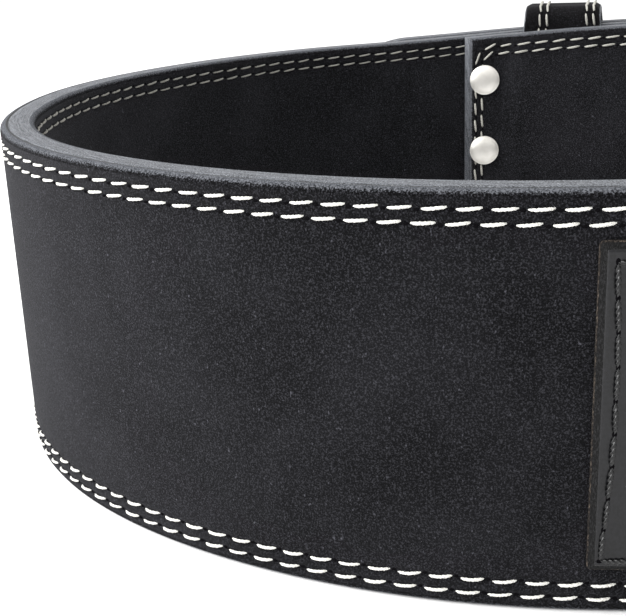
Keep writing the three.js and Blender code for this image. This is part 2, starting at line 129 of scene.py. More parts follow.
def two_tone(tree: Tree, pattern: Socket, ends: tuple[float, float], dark: object, light: object) -> Socket:
    """Colour a pattern, smoothly from dark to light between two of its values.

    Args:
        tree: the material's tree.
        pattern: the pattern's socket.
        ends: its values where dark ends and where light starts.
        dark: hex colour or colour socket.
        light: hex colour or colour socket.

    Returns:
        The colour's socket.
    """
    links = {"Value": pattern, "From Min": ends[0], "From Max": ends[1]}
    share = add_node(tree, "ShaderNodeMapRange", links, interpolation_type="SMOOTHSTEP")
    low, high = (linear(tone) if isinstance(tone, str) else tone for tone in (dark, light))
    tones = {"Factor": share, 6: low, 7: high}
    return add_node(tree, "ShaderNodeMix", tones, data_type="RGBA").node.outputs[2]


class Spot(Enum):
    """Where a material's pattern is read."""

    OBJECT = "Object"
    UV = "UV"


@dataclass(frozen=True)
class Grain:
    """One noise pattern of a finish.

    Attributes:
        size: width of one grain in millimetres along each axis.
        detail: how many finer layers it has.
        roughness: how strong the finer layers are.
        spot: the coordinates it reads.
    """

    size: tuple[float, float, float]
    detail: float = 2.0
    roughness: float = 0.5
    spot: Spot = Spot.OBJECT

    def output(self, tree: Tree) -> Socket:
        """Add the noise to a material.

        Args:
            tree: the material's tree.

        Returns:
            The noise's socket, around 0.5.
        """
        place = add_node(tree, "ShaderNodeTexCoord").node.outputs[self.spot.value]
        scale = tuple(1 / (MM * s) for s in self.size)
        scaled = add_node(tree, "ShaderNodeMapping", {"Vector": place, "Scale": scale})
        links = {"Vector": scaled, "Scale": 1.0, "Detail": self.detail, "Roughness": self.roughness}
        return add_node(tree, "ShaderNodeTexNoise", links)


# Finishes


class Finish:
    """A real surface, named for its material and how that is worked. Sizes are in millimetres."""

    name: str

    def look(self, tree: Tree) -> dict:
        """Inputs of the main shader, with the nodes that feed them."""
        raise NotImplementedError

    def build(self) -> Material:
        """Make the surface's material.

        Returns:
            The material.
        """
        material = bpy.data.materials.new(self.name)
        material.use_nodes = True
        tree = material.node_tree
        fill(tree, tree.nodes["Principled BSDF"], self.look(tree))
        return material


@dataclass(frozen=True)
class SuedeFinish(Finish):
    """Black split leather with a short buffed nap: matt, slightly cloudy, with a few pale fibre tips.

    The nap is drawn about twice as coarse as the real fibres, so that it shows.

    Attributes:
        dark: colour between the fibres.
        light: colour of the fibre ends.
        speck: colour of the few pale fibre tips.
        nap: width of a tuft.
        sheen: strength of the soft light along grazing sides.
        sheen_tint: colour of that light.
        cloud: width of the cloudy patches.
        cloudy: share of the cloudy patches in the colour.
        tip: size of a pale tip.
        nap_depth: relief of the nap.
        cloud_depth: relief of the patches.
    """

    name: str
    dark: str = "040405"
    light: str = "323236"
    speck: str = "48484e"
    nap: float = 0.42
    sheen: float = 0.075
    sheen_tint: str = "d4d4dc"
    cloud: float = 26.0
    cloudy: float = 0.14
    tip: tuple[float, float, float] = (0.8, 0.8, 1.1)
    nap_depth: float = 0.17
    cloud_depth: float = 0.25

    def look(self, tree: Tree) -> dict:
        """Nodes of the suede.

        Args:
            tree: the material's tree.

        Returns:
            Inputs of the main shader.
        """
        nap = Grain((self.nap,) * 3, detail=3, roughness=0.65).output(tree)
        cloud = Grain((self.cloud,) * 3).output(tree)
        tips = Grain(self.tip, detail=1).output(tree)
        tufts = two_tone(tree, nap, (0.46, 0.68), self.dark, self.light)
        rubbed = two_tone(tree, cloud, (0.35, 0.75), self.dark, self.light)
        shares = {"Factor": self.cloudy, 6: tufts, 7: rubbed}
        soft = add_node(tree, "ShaderNodeMix", shares, data_type="RGBA").node.outputs[2]
        coarse = add_node(tree, BUMP, {"Height": cloud, "Distance": self.cloud_depth * MM})
        fine = {"Height": nap, "Distance": self.nap_depth * MM, "Normal": coarse}
        return {
            "Base Color": two_tone(tree, tips, (0.68, 0.85), soft, self.speck),
            "Normal": add_node(tree, BUMP, fine),
            "Roughness": 1.0,
            "Specular IOR Level": 0.08,
            "Sheen Weight": self.sheen,
            "Sheen Roughness": 0.55,
            "Sheen Tint": linear(self.sheen_tint),
        }


@dataclass(frozen=True)
class DyedEdgeFinish(Finish):
    """Cut leather edge, dyed and burnished with wax: satin, with fine grit, streaks along its layers and
    painted glints.

    Attributes:
        dark: colour of the dense layers.
        light: colour of the open layers.
        painted_glint: colour of painted glints, where the waxed fibre ends would catch the light.
        streak: size of a streak, along the edge first.
        grit: width of the grit.
        glint_size: width of a painted glint on a fibre end.
        grit_depth: relief of the grit.
        streak_depth: relief of the streaks.
        line_shade: dark colour along the seam between the two outermost layers, painted shade of the dent
            there.
        line_place: where that seam runs, as a share of the leather from its inner side.
        line_half_width: half of its width, as such a share.
        line_wander: how far it wanders, as such a share.
        line_wave: length of its wandering.
    """

    name: str = "leather_edge_dyed_burnished"
    dark: str = "26282c"
    light: str = "6d7076"
    painted_glint: str = "9a9ca0"
    streak: tuple[float, float, float] = (9.0, 0.7, 1.0)
    grit: float = 0.42
    glint_size: float = 0.5
    grit_depth: float = 0.06
    streak_depth: float = 0.02
    line_shade: str = "131417"
    line_place: float = 0.95
    line_half_width: float = 0.11
    line_wander: float = 0.1
    line_wave: float = 30.0

    def with_layer_line(self, tree: Tree, colour: Socket) -> Socket:
        """Darken the seam between the two outermost layers of the leather with painted shade of the dent
        there.

        Args:
            tree: the material's tree.
            colour: socket of the edge's colour.

        Returns:
            The colour's socket with the line.
        """
        wander = Grain((self.line_wave,) * 3, detail=3).output(tree)
        share = add_node(tree, "ShaderNodeAttribute", attribute_name=LAYER_SHARE).node.outputs["Fac"]
        links = {0: wander, 1: self.line_wander, 2: -self.line_wander / 2 - self.line_place}
        offset = add_node(tree, MATH, links, operation="MULTIPLY_ADD")
        moved = add_node(tree, MATH, {0: share, 1: offset}, operation="ADD")
        away = add_node(tree, MATH, {0: moved}, operation="ABSOLUTE")
        # The dark line is painted shade for the dent along the layer seam.
        return two_tone(tree, away, (0.0, self.line_half_width), self.line_shade, colour)

    def look(self, tree: Tree) -> dict:
        """Nodes of the dyed edge.

        Args:
            tree: the material's tree.

        Returns:
            Inputs of the main shader.
        """
        layers = Grain(self.streak, detail=3, spot=Spot.UV).output(tree)
        grit = Grain((self.grit,) * 3, roughness=0.75).output(tree)
        painted_glint = Grain((self.glint_size,) * 3, detail=1).output(tree)
        mixed = add_node(tree, MATH, {0: grit, 1: 1.8, 2: layers}, operation="MULTIPLY_ADD")
        worn = two_tone(tree, mixed, (1.27, 1.55), self.dark, self.light)
        # Pale specks on the edge: painted glints of light off the waxed fibre ends.
        glinted = two_tone(tree, painted_glint, (0.6, 0.74), worn, self.painted_glint)
        streaks = {"Height": layers, "Distance": self.streak_depth * MM}
        fine = {"Height": grit, "Distance": self.grit_depth * MM}
        fine["Normal"] = add_node(tree, BUMP, streaks)
        satin = add_node(tree, "ShaderNodeMapRange", {"Value": grit, "To Min": 0.45, "To Max": 0.75})
        return {
            "Base Color": self.with_layer_line(tree, glinted),
            "Normal": add_node(tree, BUMP, fine),
            "Roughness": satin,
            "IOR": 1.42,
        }


@dataclass(frozen=True)
class FrayedEdgeFinish(Finish):
    """Rounded corner of the cut edge: the dye ends in a ragged line, and loose fibres break it up.

    Attributes:
        dyed: colour of the dyed fibres.
        shadow: colour between them.
        suede: colour of the black suede's fibres where the dye has ended.
        dark: colour between those fibres.
        fibre: width of a fibre tuft.
        depth: relief of the fibres.
        raggedness: how far the fibres carry the dye's end in or out.
    """

    name: str = "leather_edge_frayed"
    dyed: str = "67696e"
    shadow: str = "303236"
    suede: str = "323236"
    dark: str = "040405"
    fibre: float = 0.42
    depth: float = 0.12
    raggedness: float = 1.1

    def look(self, tree: Tree) -> dict:
        """Nodes of the frayed edge.

        Args:
            tree: the material's tree.

        Returns:
            Inputs of the main shader.
        """
        fibres = Grain((self.fibre,) * 3, detail=3, roughness=0.7).output(tree)
        share = add_node(tree, "ShaderNodeAttribute", attribute_name=EDGE_SHARE).node.outputs["Fac"]
        reach = {0: fibres, 1: self.raggedness, 2: share}
        ragged = add_node(tree, MATH, reach, operation="MULTIPLY_ADD")
        nap = two_tone(tree, fibres, (0.46, 0.68), self.dark, self.suede)
        dyed = two_tone(tree, fibres, (0.36, 0.66), self.shadow, self.dyed)
        return {
            "Base Color": two_tone(tree, ragged, (0.8, 1.14), nap, dyed),
            "Normal": add_node(tree, BUMP, {"Height": fibres, "Distance": self.depth * MM}),
            "Roughness": 1.0,
            "Specular IOR Level": 0.12,
        }


@dataclass(frozen=True)
class ThreadFinish(Finish):
    """Bonded twisted thread: smooth plies with a little fuzz between them.

    Attributes:
        crest: colour on the plies.
        valley: colour between them.
        roughness: how matt the wax leaves it.
        sheen: light caught by loose fibres.
        fibre: width of a fibre.
        depth: relief of the fibres.
    """

    name: str
    crest: str
    valley: str
    roughness: float
    sheen: float = 0.15
    fibre: float = 0.2
    depth: float = 0.04

    def look(self, tree: Tree) -> dict:
        """Nodes of the thread.

        Args:
            tree: the material's tree.

        Returns:
            Inputs of the main shader.
        """
        fibres = Grain((self.fibre,) * 3).output(tree)
        return {
            "Base Color": two_tone(tree, fibres, (0.35, 0.6), self.valley, self.crest),
            "Normal": add_node(tree, BUMP, {"Height": fibres, "Distance": self.depth * MM}),
            "Roughness": self.roughness,
            "Sheen Weight": self.sheen,
        }


@dataclass(frozen=True)
class NeedleHoleFinish(Finish):
    """Dark lens in a needle hole: painted shade for the hole, out of which nearly no light comes back.

    Attributes:
        dark: deepest painted shade, between the torn fibres.
        light: lighter painted shade, on the torn fibres.
        fibre: width of a fibre.
    """

    name: str = "needle_hole_painted_shade"
    dark: str = "060607"
    light: str = "141315"
    fibre: float = 0.25

    def look(self, tree: Tree) -> dict:
        """Nodes of the needle hole's dark.

        Args:
            tree: the material's tree.

        Returns:
            Inputs of the main shader.
        """
        fibres = Grain((self.fibre,) * 3).output(tree)
        # Near-black colour: painted shade of the needle hole's inside.
        shares = {"Factor": fibres, 6: linear(self.dark), 7: linear(self.light)}
        colour = add_node(tree, "ShaderNodeMix", shares, data_type="RGBA").node.outputs[2]
        return {"Base Color": colour, "Roughness": 1.0, "Specular IOR Level": 0.0}


@dataclass(frozen=True)
class PatchLeatherFinish(Finish):
    """Smooth top-grain leather with a pressed gloss: it mirrors the room softly over a faint pore grain.

    Attributes:
        dark: colour in the pores.
        light: colour of the smooth face.
        roughness: blur of what it mirrors.
        pore: width of a pore.
        wave: width of the face's slow waves.
        pore_depth: relief of the pores.
        wave_depth: relief of the waves.
    """

    name: str = "leather_glossy_pressed"
    dark: str = "09090b"
    light: str = "131316"
    roughness: float = 0.28
    pore: float = 0.7
    wave: float = 18.0
    pore_depth: float = 0.02
    wave_depth: float = 0.35

    def look(self, tree: Tree) -> dict:
        """Nodes of the glossy leather.

        Args:
            tree: the material's tree.

        Returns:
            Inputs of the main shader.
        """
        pores = Grain((self.pore,) * 3, detail=3).output(tree)
        hand = Grain((self.wave,) * 3, detail=1).output(tree)
        waves = add_node(tree, BUMP, {"Height": hand, "Distance": self.wave_depth * MM})
        fine = {"Height": pores, "Distance": self.pore_depth * MM, "Normal": waves}
        links = {"Value": hand, "To Min": self.roughness - 0.05, "To Max": self.roughness + 0.08}
        return {
            "Base Color": two_tone(tree, pores, (0.35, 0.6), self.dark, self.light),
            "Normal": add_node(tree, BUMP, fine),
            "Roughness": add_node(tree, "ShaderNodeMapRange", links),
            "IOR": 1.4,
        }


@dataclass(frozen=True)
class RawEdgeFinish(Finish):
    """Undyed cut side of vegetable-tanned leather: fibrous and matt, brown to beige.

    Attributes:
        dark: colour between the fibres.
        light: colour of the fibres.
        fibre: width of a fibre bundle.
        stretch: its height, as a multiple of its width.
        depth: relief of the fibres.
    """

    name: str = "leather_edge_raw"
    dark: str = "0f0c0b"
    light: str = "544b42"
    fibre: float = 0.5
    stretch: float = 2.6
    depth: float = 0.2

    def look(self, tree: Tree) -> dict:
        """Nodes of the raw edge.

        Args:
            tree: the material's tree.

        Returns:
            Inputs of the main shader.
        """
        size = (self.fibre, self.fibre, self.stretch * self.fibre)
        fibres = Grain(size, detail=3, roughness=0.7).output(tree)
        return {
            "Base Color": two_tone(tree, fibres, (0.44, 0.7), self.dark, self.light),
            "Normal": add_node(tree, BUMP, {"Height": fibres, "Distance": self.depth * MM}),
            "Roughness": 0.9,
            "Specular IOR Level": 0.25,
        }


@dataclass(frozen=True)
class NickelFinish(Finish):
    """Nickel plate on steel, polished: bright and slightly warm, with hairline wear.

    Attributes:
        bright: colour of the plate.
        dull: colour where it is worn.
        roughness: blur of what it mirrors.
        wear: width of a worn place.
        hair: size of a hairline.
        hair_depth: its relief.
    """

    name: str
    bright: str = "e6e3dc"
    dull: str = "dad6ce"
    roughness: float = 0.16
    wear: float = 6.0
    hair: tuple[float, float, float] = (0.25, 0.25, 2.5)
    hair_depth: float = 0.004

    def look(self, tree: Tree) -> dict:
        """Nodes of the nickel plate.

        Args:
            tree: the material's tree.

        Returns:
            Inputs of the main shader.
        """
        wear = Grain((self.wear,) * 3).output(tree)
        hair = Grain(self.hair).output(tree)
        links = {"Value": wear, "To Min": self.roughness - 0.03, "To Max": self.roughness + 0.04}
        return {
            "Base Color": two_tone(tree, wear, (0.35, 0.7), self.bright, self.dull),
            "Normal": add_node(tree, BUMP, {"Height": hair, "Distance": self.hair_depth * MM}),
            "Roughness": add_node(tree, "ShaderNodeMapRange", links),
            "Metallic": 1.0,
        }


@dataclass(frozen=True)
class FloorFinish(Finish):
    """White paper sweep: matt and even."""

    name: str = "paper_white_matt"
    white: str = "f7f7f7"

    def look(self, tree: Tree) -> dict:
        """Nodes of the paper.

        Args:
            tree: the material's tree.

        Returns:
            Inputs of the main shader.
        """
        return {"Base Color": linear(self.white), "Roughness": 0.9}


# Meshes


def mesh_object(name: str, points: Array, faces: list, materials: list[Material]) -> Piece:
    """Make an object from points in millimetres.

    Args:
        name: the object's name.
        points: one row for each corner, in millimetres.
        faces: the corners of each face.
        materials: the materials, in the order of their slots.

    Returns:
        The object, at the origin.
    """
    mesh = bpy.data.meshes.new(name)
    mesh.from_pydata((np.asarray(points, float) * MM).tolist(), [], faces)
    for material in materials:
        mesh.materials.append(material)
    mesh.shade_smooth()
    piece = bpy.data.objects.new(name, mesh)
    bpy.context.scene.collection.objects.link(piece)
    return piece


def tidy(piece: Piece, merge: float = 0.002) -> None:
    """Merge doubled corners, drop faces without area and turn every face outwards.

    Args:
        piece: the object to tidy.
        merge: corners closer than this, in millimetres, become one.
    """
    work = bmesh.new()
    work.from_mesh(piece.data)
    bmesh.ops.remove_doubles(work, verts=work.verts, dist=merge * MM)
    bmesh.ops.dissolve_degenerate(work, edges=work.edges, dist=merge * MM / 2)
    bmesh.ops.recalc_face_normals(work, faces=work.faces)
    work.to_mesh(piece.data)
    work.free()


def tube_faces(rows: int, count: int, closed: bool) -> list[tuple[int, int, int, int]]:
    """Faces of a skin over equal rings.

    Args:
        rows: number of rings.
        count: corners of each ring.
        closed: True if the last ring joins the first.

    Returns:
        The corners of each face.
    """
    steps = rows if closed else rows - 1
    faces = []
    for i in range(steps):
        here, there = i * count, ((i + 1) % rows) * count
        for k in range(count):
            after = (k + 1) % count
            faces.append((here + k, here + after, there + after, there + k))
    return faces


def cap_faces(rows: int, count: int) -> list[tuple[int, ...]]:
    """The two flat ends of an open tube."""
    last = (rows - 1) * count
    return [tuple(reversed(range(count))), tuple(range(last, last + count))]


def rounded_rectangle(width: float, height: float, radius: float, steps: int) -> Array:
    """Outline of a rectangle from (0, 0) with rounded corners.

    Args:
        width: size along the first axis.
        height: size along the second.
        radius: of the corners.
        steps: segments of each corner.

    Returns:
        One row for each corner point.
    """
    centres = ((width - radius, radius, -90), (width - radius, height - radius, 0))
    centres += ((radius, height - radius, 90), (radius, radius, 180))
    points = []
    for x, y, start in centres:
        turns = np.radians(start + 90 * np.arange(steps + 1) / steps)
        points.append(np.stack([x + radius * np.cos(turns), y + radius * np.sin(turns)], axis=1))
    return np.concatenate(points)


def with_boolean(piece: Piece, other: Piece, operation: str) -> None:
    """Join or cut a piece by another and keep the plain mesh.

    Args:
        piece: the object that changes.
        other: the object that joins or cuts, removed afterwards.
        operation: UNION or DIFFERENCE.
    """
    modifier = piece.modifiers.new("cut", "BOOLEAN")
    modifier.operation = operation
    modifier.solver = "EXACT"
    modifier.object = other
    bake(piece)
    bpy.data.objects.remove(other)


def bake(piece: Piece) -> None:
    """Turn a piece and its modifiers into a plain mesh.

    Args:
        piece: the object.
    """
    graph = bpy.context.evaluated_depsgraph_get()
    mesh = bpy.data.meshes.new_from_object(piece.evaluated_get(graph))
    piece.modifiers.clear()
    piece.data = mesh


def spread(start: float, end: float, spacing: float) -> Array:
    """Evenly spaced values from start to end, about one spacing apart."""
    return np.linspace(start, end, max(2, round(abs(end - start) / spacing) + 1))


@dataclass(frozen=True)
class TableCurve:
    """A smooth curve through rows of (place, value), with no overshoot between them."""

    rows: tuple[tuple[float, float], ...]

    def __call__(self, places: Array) -> Array:
        """Values at the places.

        Args:
            places: where the curve is read.

        Returns:
            The curve's values.
        """
        xs, ys = np.array(self.rows, float).T
        slopes = np.diff(ys) / np.diff(xs)
        before, after = slopes[:-1], slopes[1:]
        rising = before * after > 0
        inner = np.zeros(len(xs) - 2)
        inner[rising] = 2 * before[rising] * after[rising] / (before[rising] + after[rising])
        tangents = np.concatenate([[0.0], inner, [0.0]])
        x = np.clip(places, xs[0], xs[-1])
        i = np.clip(np.searchsorted(xs, x, side="right") - 1, 0, len(xs) - 2)
        width = xs[i + 1] - xs[i]
        t = (x - xs[i]) / width
        start = (1 + 2 * t) * (1 - t) ** 2 * ys[i] + t * (1 - t) ** 2 * width * tangents[i]
        end = t * t * (3 - 2 * t) * ys[i + 1] + t * t * (t - 1) * width * tangents[i + 1]
        return start + end


# The belt's plan


@dataclass(frozen=True)
class Wave:
    """One slow wave of the loop's radius, as shares of it."""

    turns: int
    cosine: float
    sine: float

    def at(self, angles: Array) -> Array:
        """The wave's share of the radius at polar angles."""
        turned = self.turns * angles
        return self.cosine * np.cos(turned) + self.sine * np.sin(turned)


@dataclass
class LoopPlan:
    """The strap's outer face seen from above: a squarish oval with a few slow waves.

    A place on it is (along, out): along the outer face from the buckle's bar, clockwise seen from
    above, and out from that face.
    """

    half_length: float = 199.5
    half_depth: float = 153.0
    squareness: float = 2.21
    turn: float = math.radians(2.4)
    bar_angle: float = math.radians(63.2)
    waves: tuple[Wave, ...] = (
        Wave(2, -0.011, -0.016),
        Wave(3, 0.013, -0.008),
        Wave(4, -0.002, 0.014),
        Wave(5, -0.012, 0.004),
    )
    samples: int = 5760
    nudge: float = 1e-4
    shift: Array = field(default_factory=lambda: np.zeros(2))

    def __post_init__(self) -> None:
        """Measure the loop, and find where the strap stands in the frame."""
        self.angles = self.bar_angle - np.linspace(0, 2 * math.pi, self.samples + 1)
        outline = self.point(self.angles)
        steps = np.hypot(*np.diff(outline, axis=0).T)
        self.lengths = np.concatenate([[0.0], np.cumsum(steps)])
        low, high = (np.array(corner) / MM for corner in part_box("belt_strap"))
        middle = (low[0] + high[0] - outline[:, 0].min() - outline[:, 0].max()) / 2
        self.shift = np.array([middle, low[1] - outline[:, 1].min()])

    @property
    def length(self) -> float:
        """Length of the loop's outer face."""
        return float(self.lengths[-1])

    def point(self, angles: Array) -> Array:
        """Outer face at polar angles, about the loop's own middle.

        Args:
            angles: polar angles.

        Returns:
            Points (x, y) in millimetres.
        """
        turned = angles + self.turn
        across = np.abs(np.cos(turned) / self.half_length) ** self.squareness
        deep = np.abs(np.sin(turned) / self.half_depth) ** self.squareness
        swell = 1 + sum(wave.at(angles) for wave in self.waves)
        radius = (across + deep) ** (-1 / self.squareness) * swell
        return np.stack([radius * np.cos(angles), radius * np.sin(angles)], axis=-1)

    def angle_at(self, along: Array) -> Array:
        """Polar angle at lengths along the loop."""
        return np.interp(np.mod(along, self.length), self.lengths, self.angles)

    def outward(self, along: Array) -> Array:
        """Unit direction out of the loop.

        Args:
            along: lengths along the loop.

        Returns:
            Directions (x, y).
        """
        angles = self.angle_at(along)
        step = self.point(angles + self.nudge) - self.point(angles - self.nudge)
        step = step / np.linalg.norm(step, axis=-1, keepdims=True)
        return np.stack([step[..., 1], -step[..., 0]], axis=-1)

    def tangent(self, along: Array) -> Array:
        """Unit direction along the loop, clockwise."""
        out = self.outward(along)
        return np.stack([out[..., 1], -out[..., 0]], axis=-1)

    def plan(self, along: Array, out: Array) -> Array:
        """Place in the frame's plan, in millimetres.

        Args:
            along: lengths along the loop.
            out: distances out of its outer face.

        Returns:
            Points (x, y).
        """
        along = np.asarray(along, float)
        out = np.asarray(out, float)
        return self.point(self.angle_at(along)) + self.shift + self.outward(along) * out[..., None]

    def place(self, along: Array, out: Array, up: Array) -> Array:
        """Place in the frame, in millimetres, at a height above the floor."""
        plan = self.plan(along, out)
        return np.concatenate([plan, np.broadcast_to(up, plan.shape[:-1])[..., None]], axis=-1)


@dataclass
class StrapForm:
    """How the strap runs: free end outside the front wall, once round, over the bar, back as the flap.

    A place in the leather is (run, up, through): run from the free end, where the tongue's end is
    minus its length and the bar is the loop's length; up from the strap's lower edge; and through the
    leather from its inner face.
    """

    loop: LoopPlan
    height: float = 100.0
    thickness: float = 10.5
    fold_thickness: float = 4.5
    skive_length: float = 13.0
    flap_length: float = 100.0
    tongue_length: float = 160.0
    tongue_clearance: float = 2.0
    flap_end_gap: float = 0.6
    bar_diameter: float = 5.6
    frame_end_clearance: float = 1.0
    frame_reach: float = 46.0
    lift_reach: float = 150.0
    rivet_from_bar: float = 19.0
    rivet_from_flap_end: float = 8.7
    rivet_cap: float = 13.0
    rivet_pitch: float = 31.5
    keeper_thickness: float = 2.4
    keeper_from_flap_end: float = 26.2

    def __post_init__(self) -> None:
        """Work out the curves that follow from the sizes."""
        self.fold_radius = self.bar_diameter / 2 + FIT
        self.fold_outside = self.fold_radius + self.fold_thickness
        self.fold_length = math.pi * self.fold_outside
        self.bar_run = self.loop.length
        self.flap_run = self.bar_run + self.fold_length
        self.end_run = self.flap_run + self.flap_length
        self.buckle_lift = self.frame_end_clearance + self.bar_diameter
        reach = self.rivet_cap / 2 + FIT
        keeper_gap = self.keeper_thickness + 2 * FIT
        self.flap_gap = TableCurve((
            (0.0, 2 * self.fold_radius),
            (self.rivet_from_bar - reach, keeper_gap),
            (self.flap_length - self.keeper_from_flap_end + FIT, keeper_gap),
            (self.flap_length - self.rivet_from_flap_end - reach, self.flap_end_gap),
        ))
        self.pared = TableCurve(((0.0, self.fold_thickness), (self.skive_length, self.thickness)))
        self.inner_face = TableCurve((
            (-self.skive_length, self.tongue_clearance),
            (0.22 * self.frame_reach, -0.3 * self.thickness),
            (self.frame_reach, -0.72 * self.thickness),
            (2.6 * self.frame_reach, -self.thickness),
        ))

    def lift(self, along: Array) -> Array:
        """Height of the strap's lower edge: the tall buckle frame carries it near the bar.

        Args:
            along: lengths along the loop, or back from the bar.

        Returns:
            Heights in millimetres.
        """
        along = np.asarray(along, float)
        from_bar = np.minimum(np.abs(along), np.abs(self.loop.length - along))
        share = np.minimum(from_bar / self.lift_reach, 1)
        return self.buckle_lift * np.cos(share * math.pi / 2) ** 2

    def section(self, run: Array) -> tuple[Array, Array, Array, Array]:
        """Inner face, direction through the leather, thickness and lift at each run.

        Args:
            run: places along the strap.

        Returns:
            Points of the inner face, unit directions, thicknesses and lifts.
        """
        run = np.asarray(run, float)
        base, facing = np.empty(run.shape + (2,)), np.empty(run.shape + (2,))
        thick, lift = np.empty(run.shape), np.empty(run.shape)
        body = run <= self.bar_run
        fold = (run > self.bar_run) & (run < self.flap_run)
        flap = run >= self.flap_run
        base[body] = self.loop.plan(run[body], self.inner_face(run[body]))
        facing[body] = self.loop.outward(run[body])
        thick[body] = self.pared(self.bar_run - run[body])
        lift[body] = self.lift(run[body])
        turn = (run[fold] - self.bar_run) / self.fold_outside
        zero = np.zeros_like(turn)
        centre = self.loop.plan(zero, zero - self.thickness - self.fold_radius)
        out, ahead = self.loop.outward(zero), self.loop.tangent(zero)
        facing[fold] = out * np.cos(turn)[:, None] + ahead * np.sin(turn)[:, None]
        base[fold] = centre + facing[fold] * self.fold_radius
        thick[fold] = self.fold_thickness
        lift[fold] = self.buckle_lift
        from_bar = run[flap] - self.flap_run
        base[flap] = self.loop.plan(-from_bar, -self.thickness - self.flap_gap(from_bar))
        facing[flap] = -self.loop.outward(-from_bar)
        thick[flap] = self.pared(from_bar)
        lift[flap] = self.lift(-from_bar)
        return base, facing, thick, lift

    def at(self, run: Array, up: Array, through: Array, from_outer: bool = False) -> Array:
        """Places in the frame of places in the leather.

        Args:
            run: along the strap.
            up: above its lower edge.
            through: from the inner face outwards, or above the outer face.
            from_outer: True if through starts at the outer face.

        Returns:
            Points in millimetres.
        """
        base, facing, thick, lift = self.section(run)
        depth = np.asarray(through, float) + (thick if from_outer else 0)
        plan = base + facing * depth[..., None]
        return np.concatenate([plan, (lift + up)[..., None]], axis=-1)


# Stitches


class Side(Enum):
    """Which face of the leather a row lies on, as the direction out of it."""

    OUTER = 1
    INNER = -1


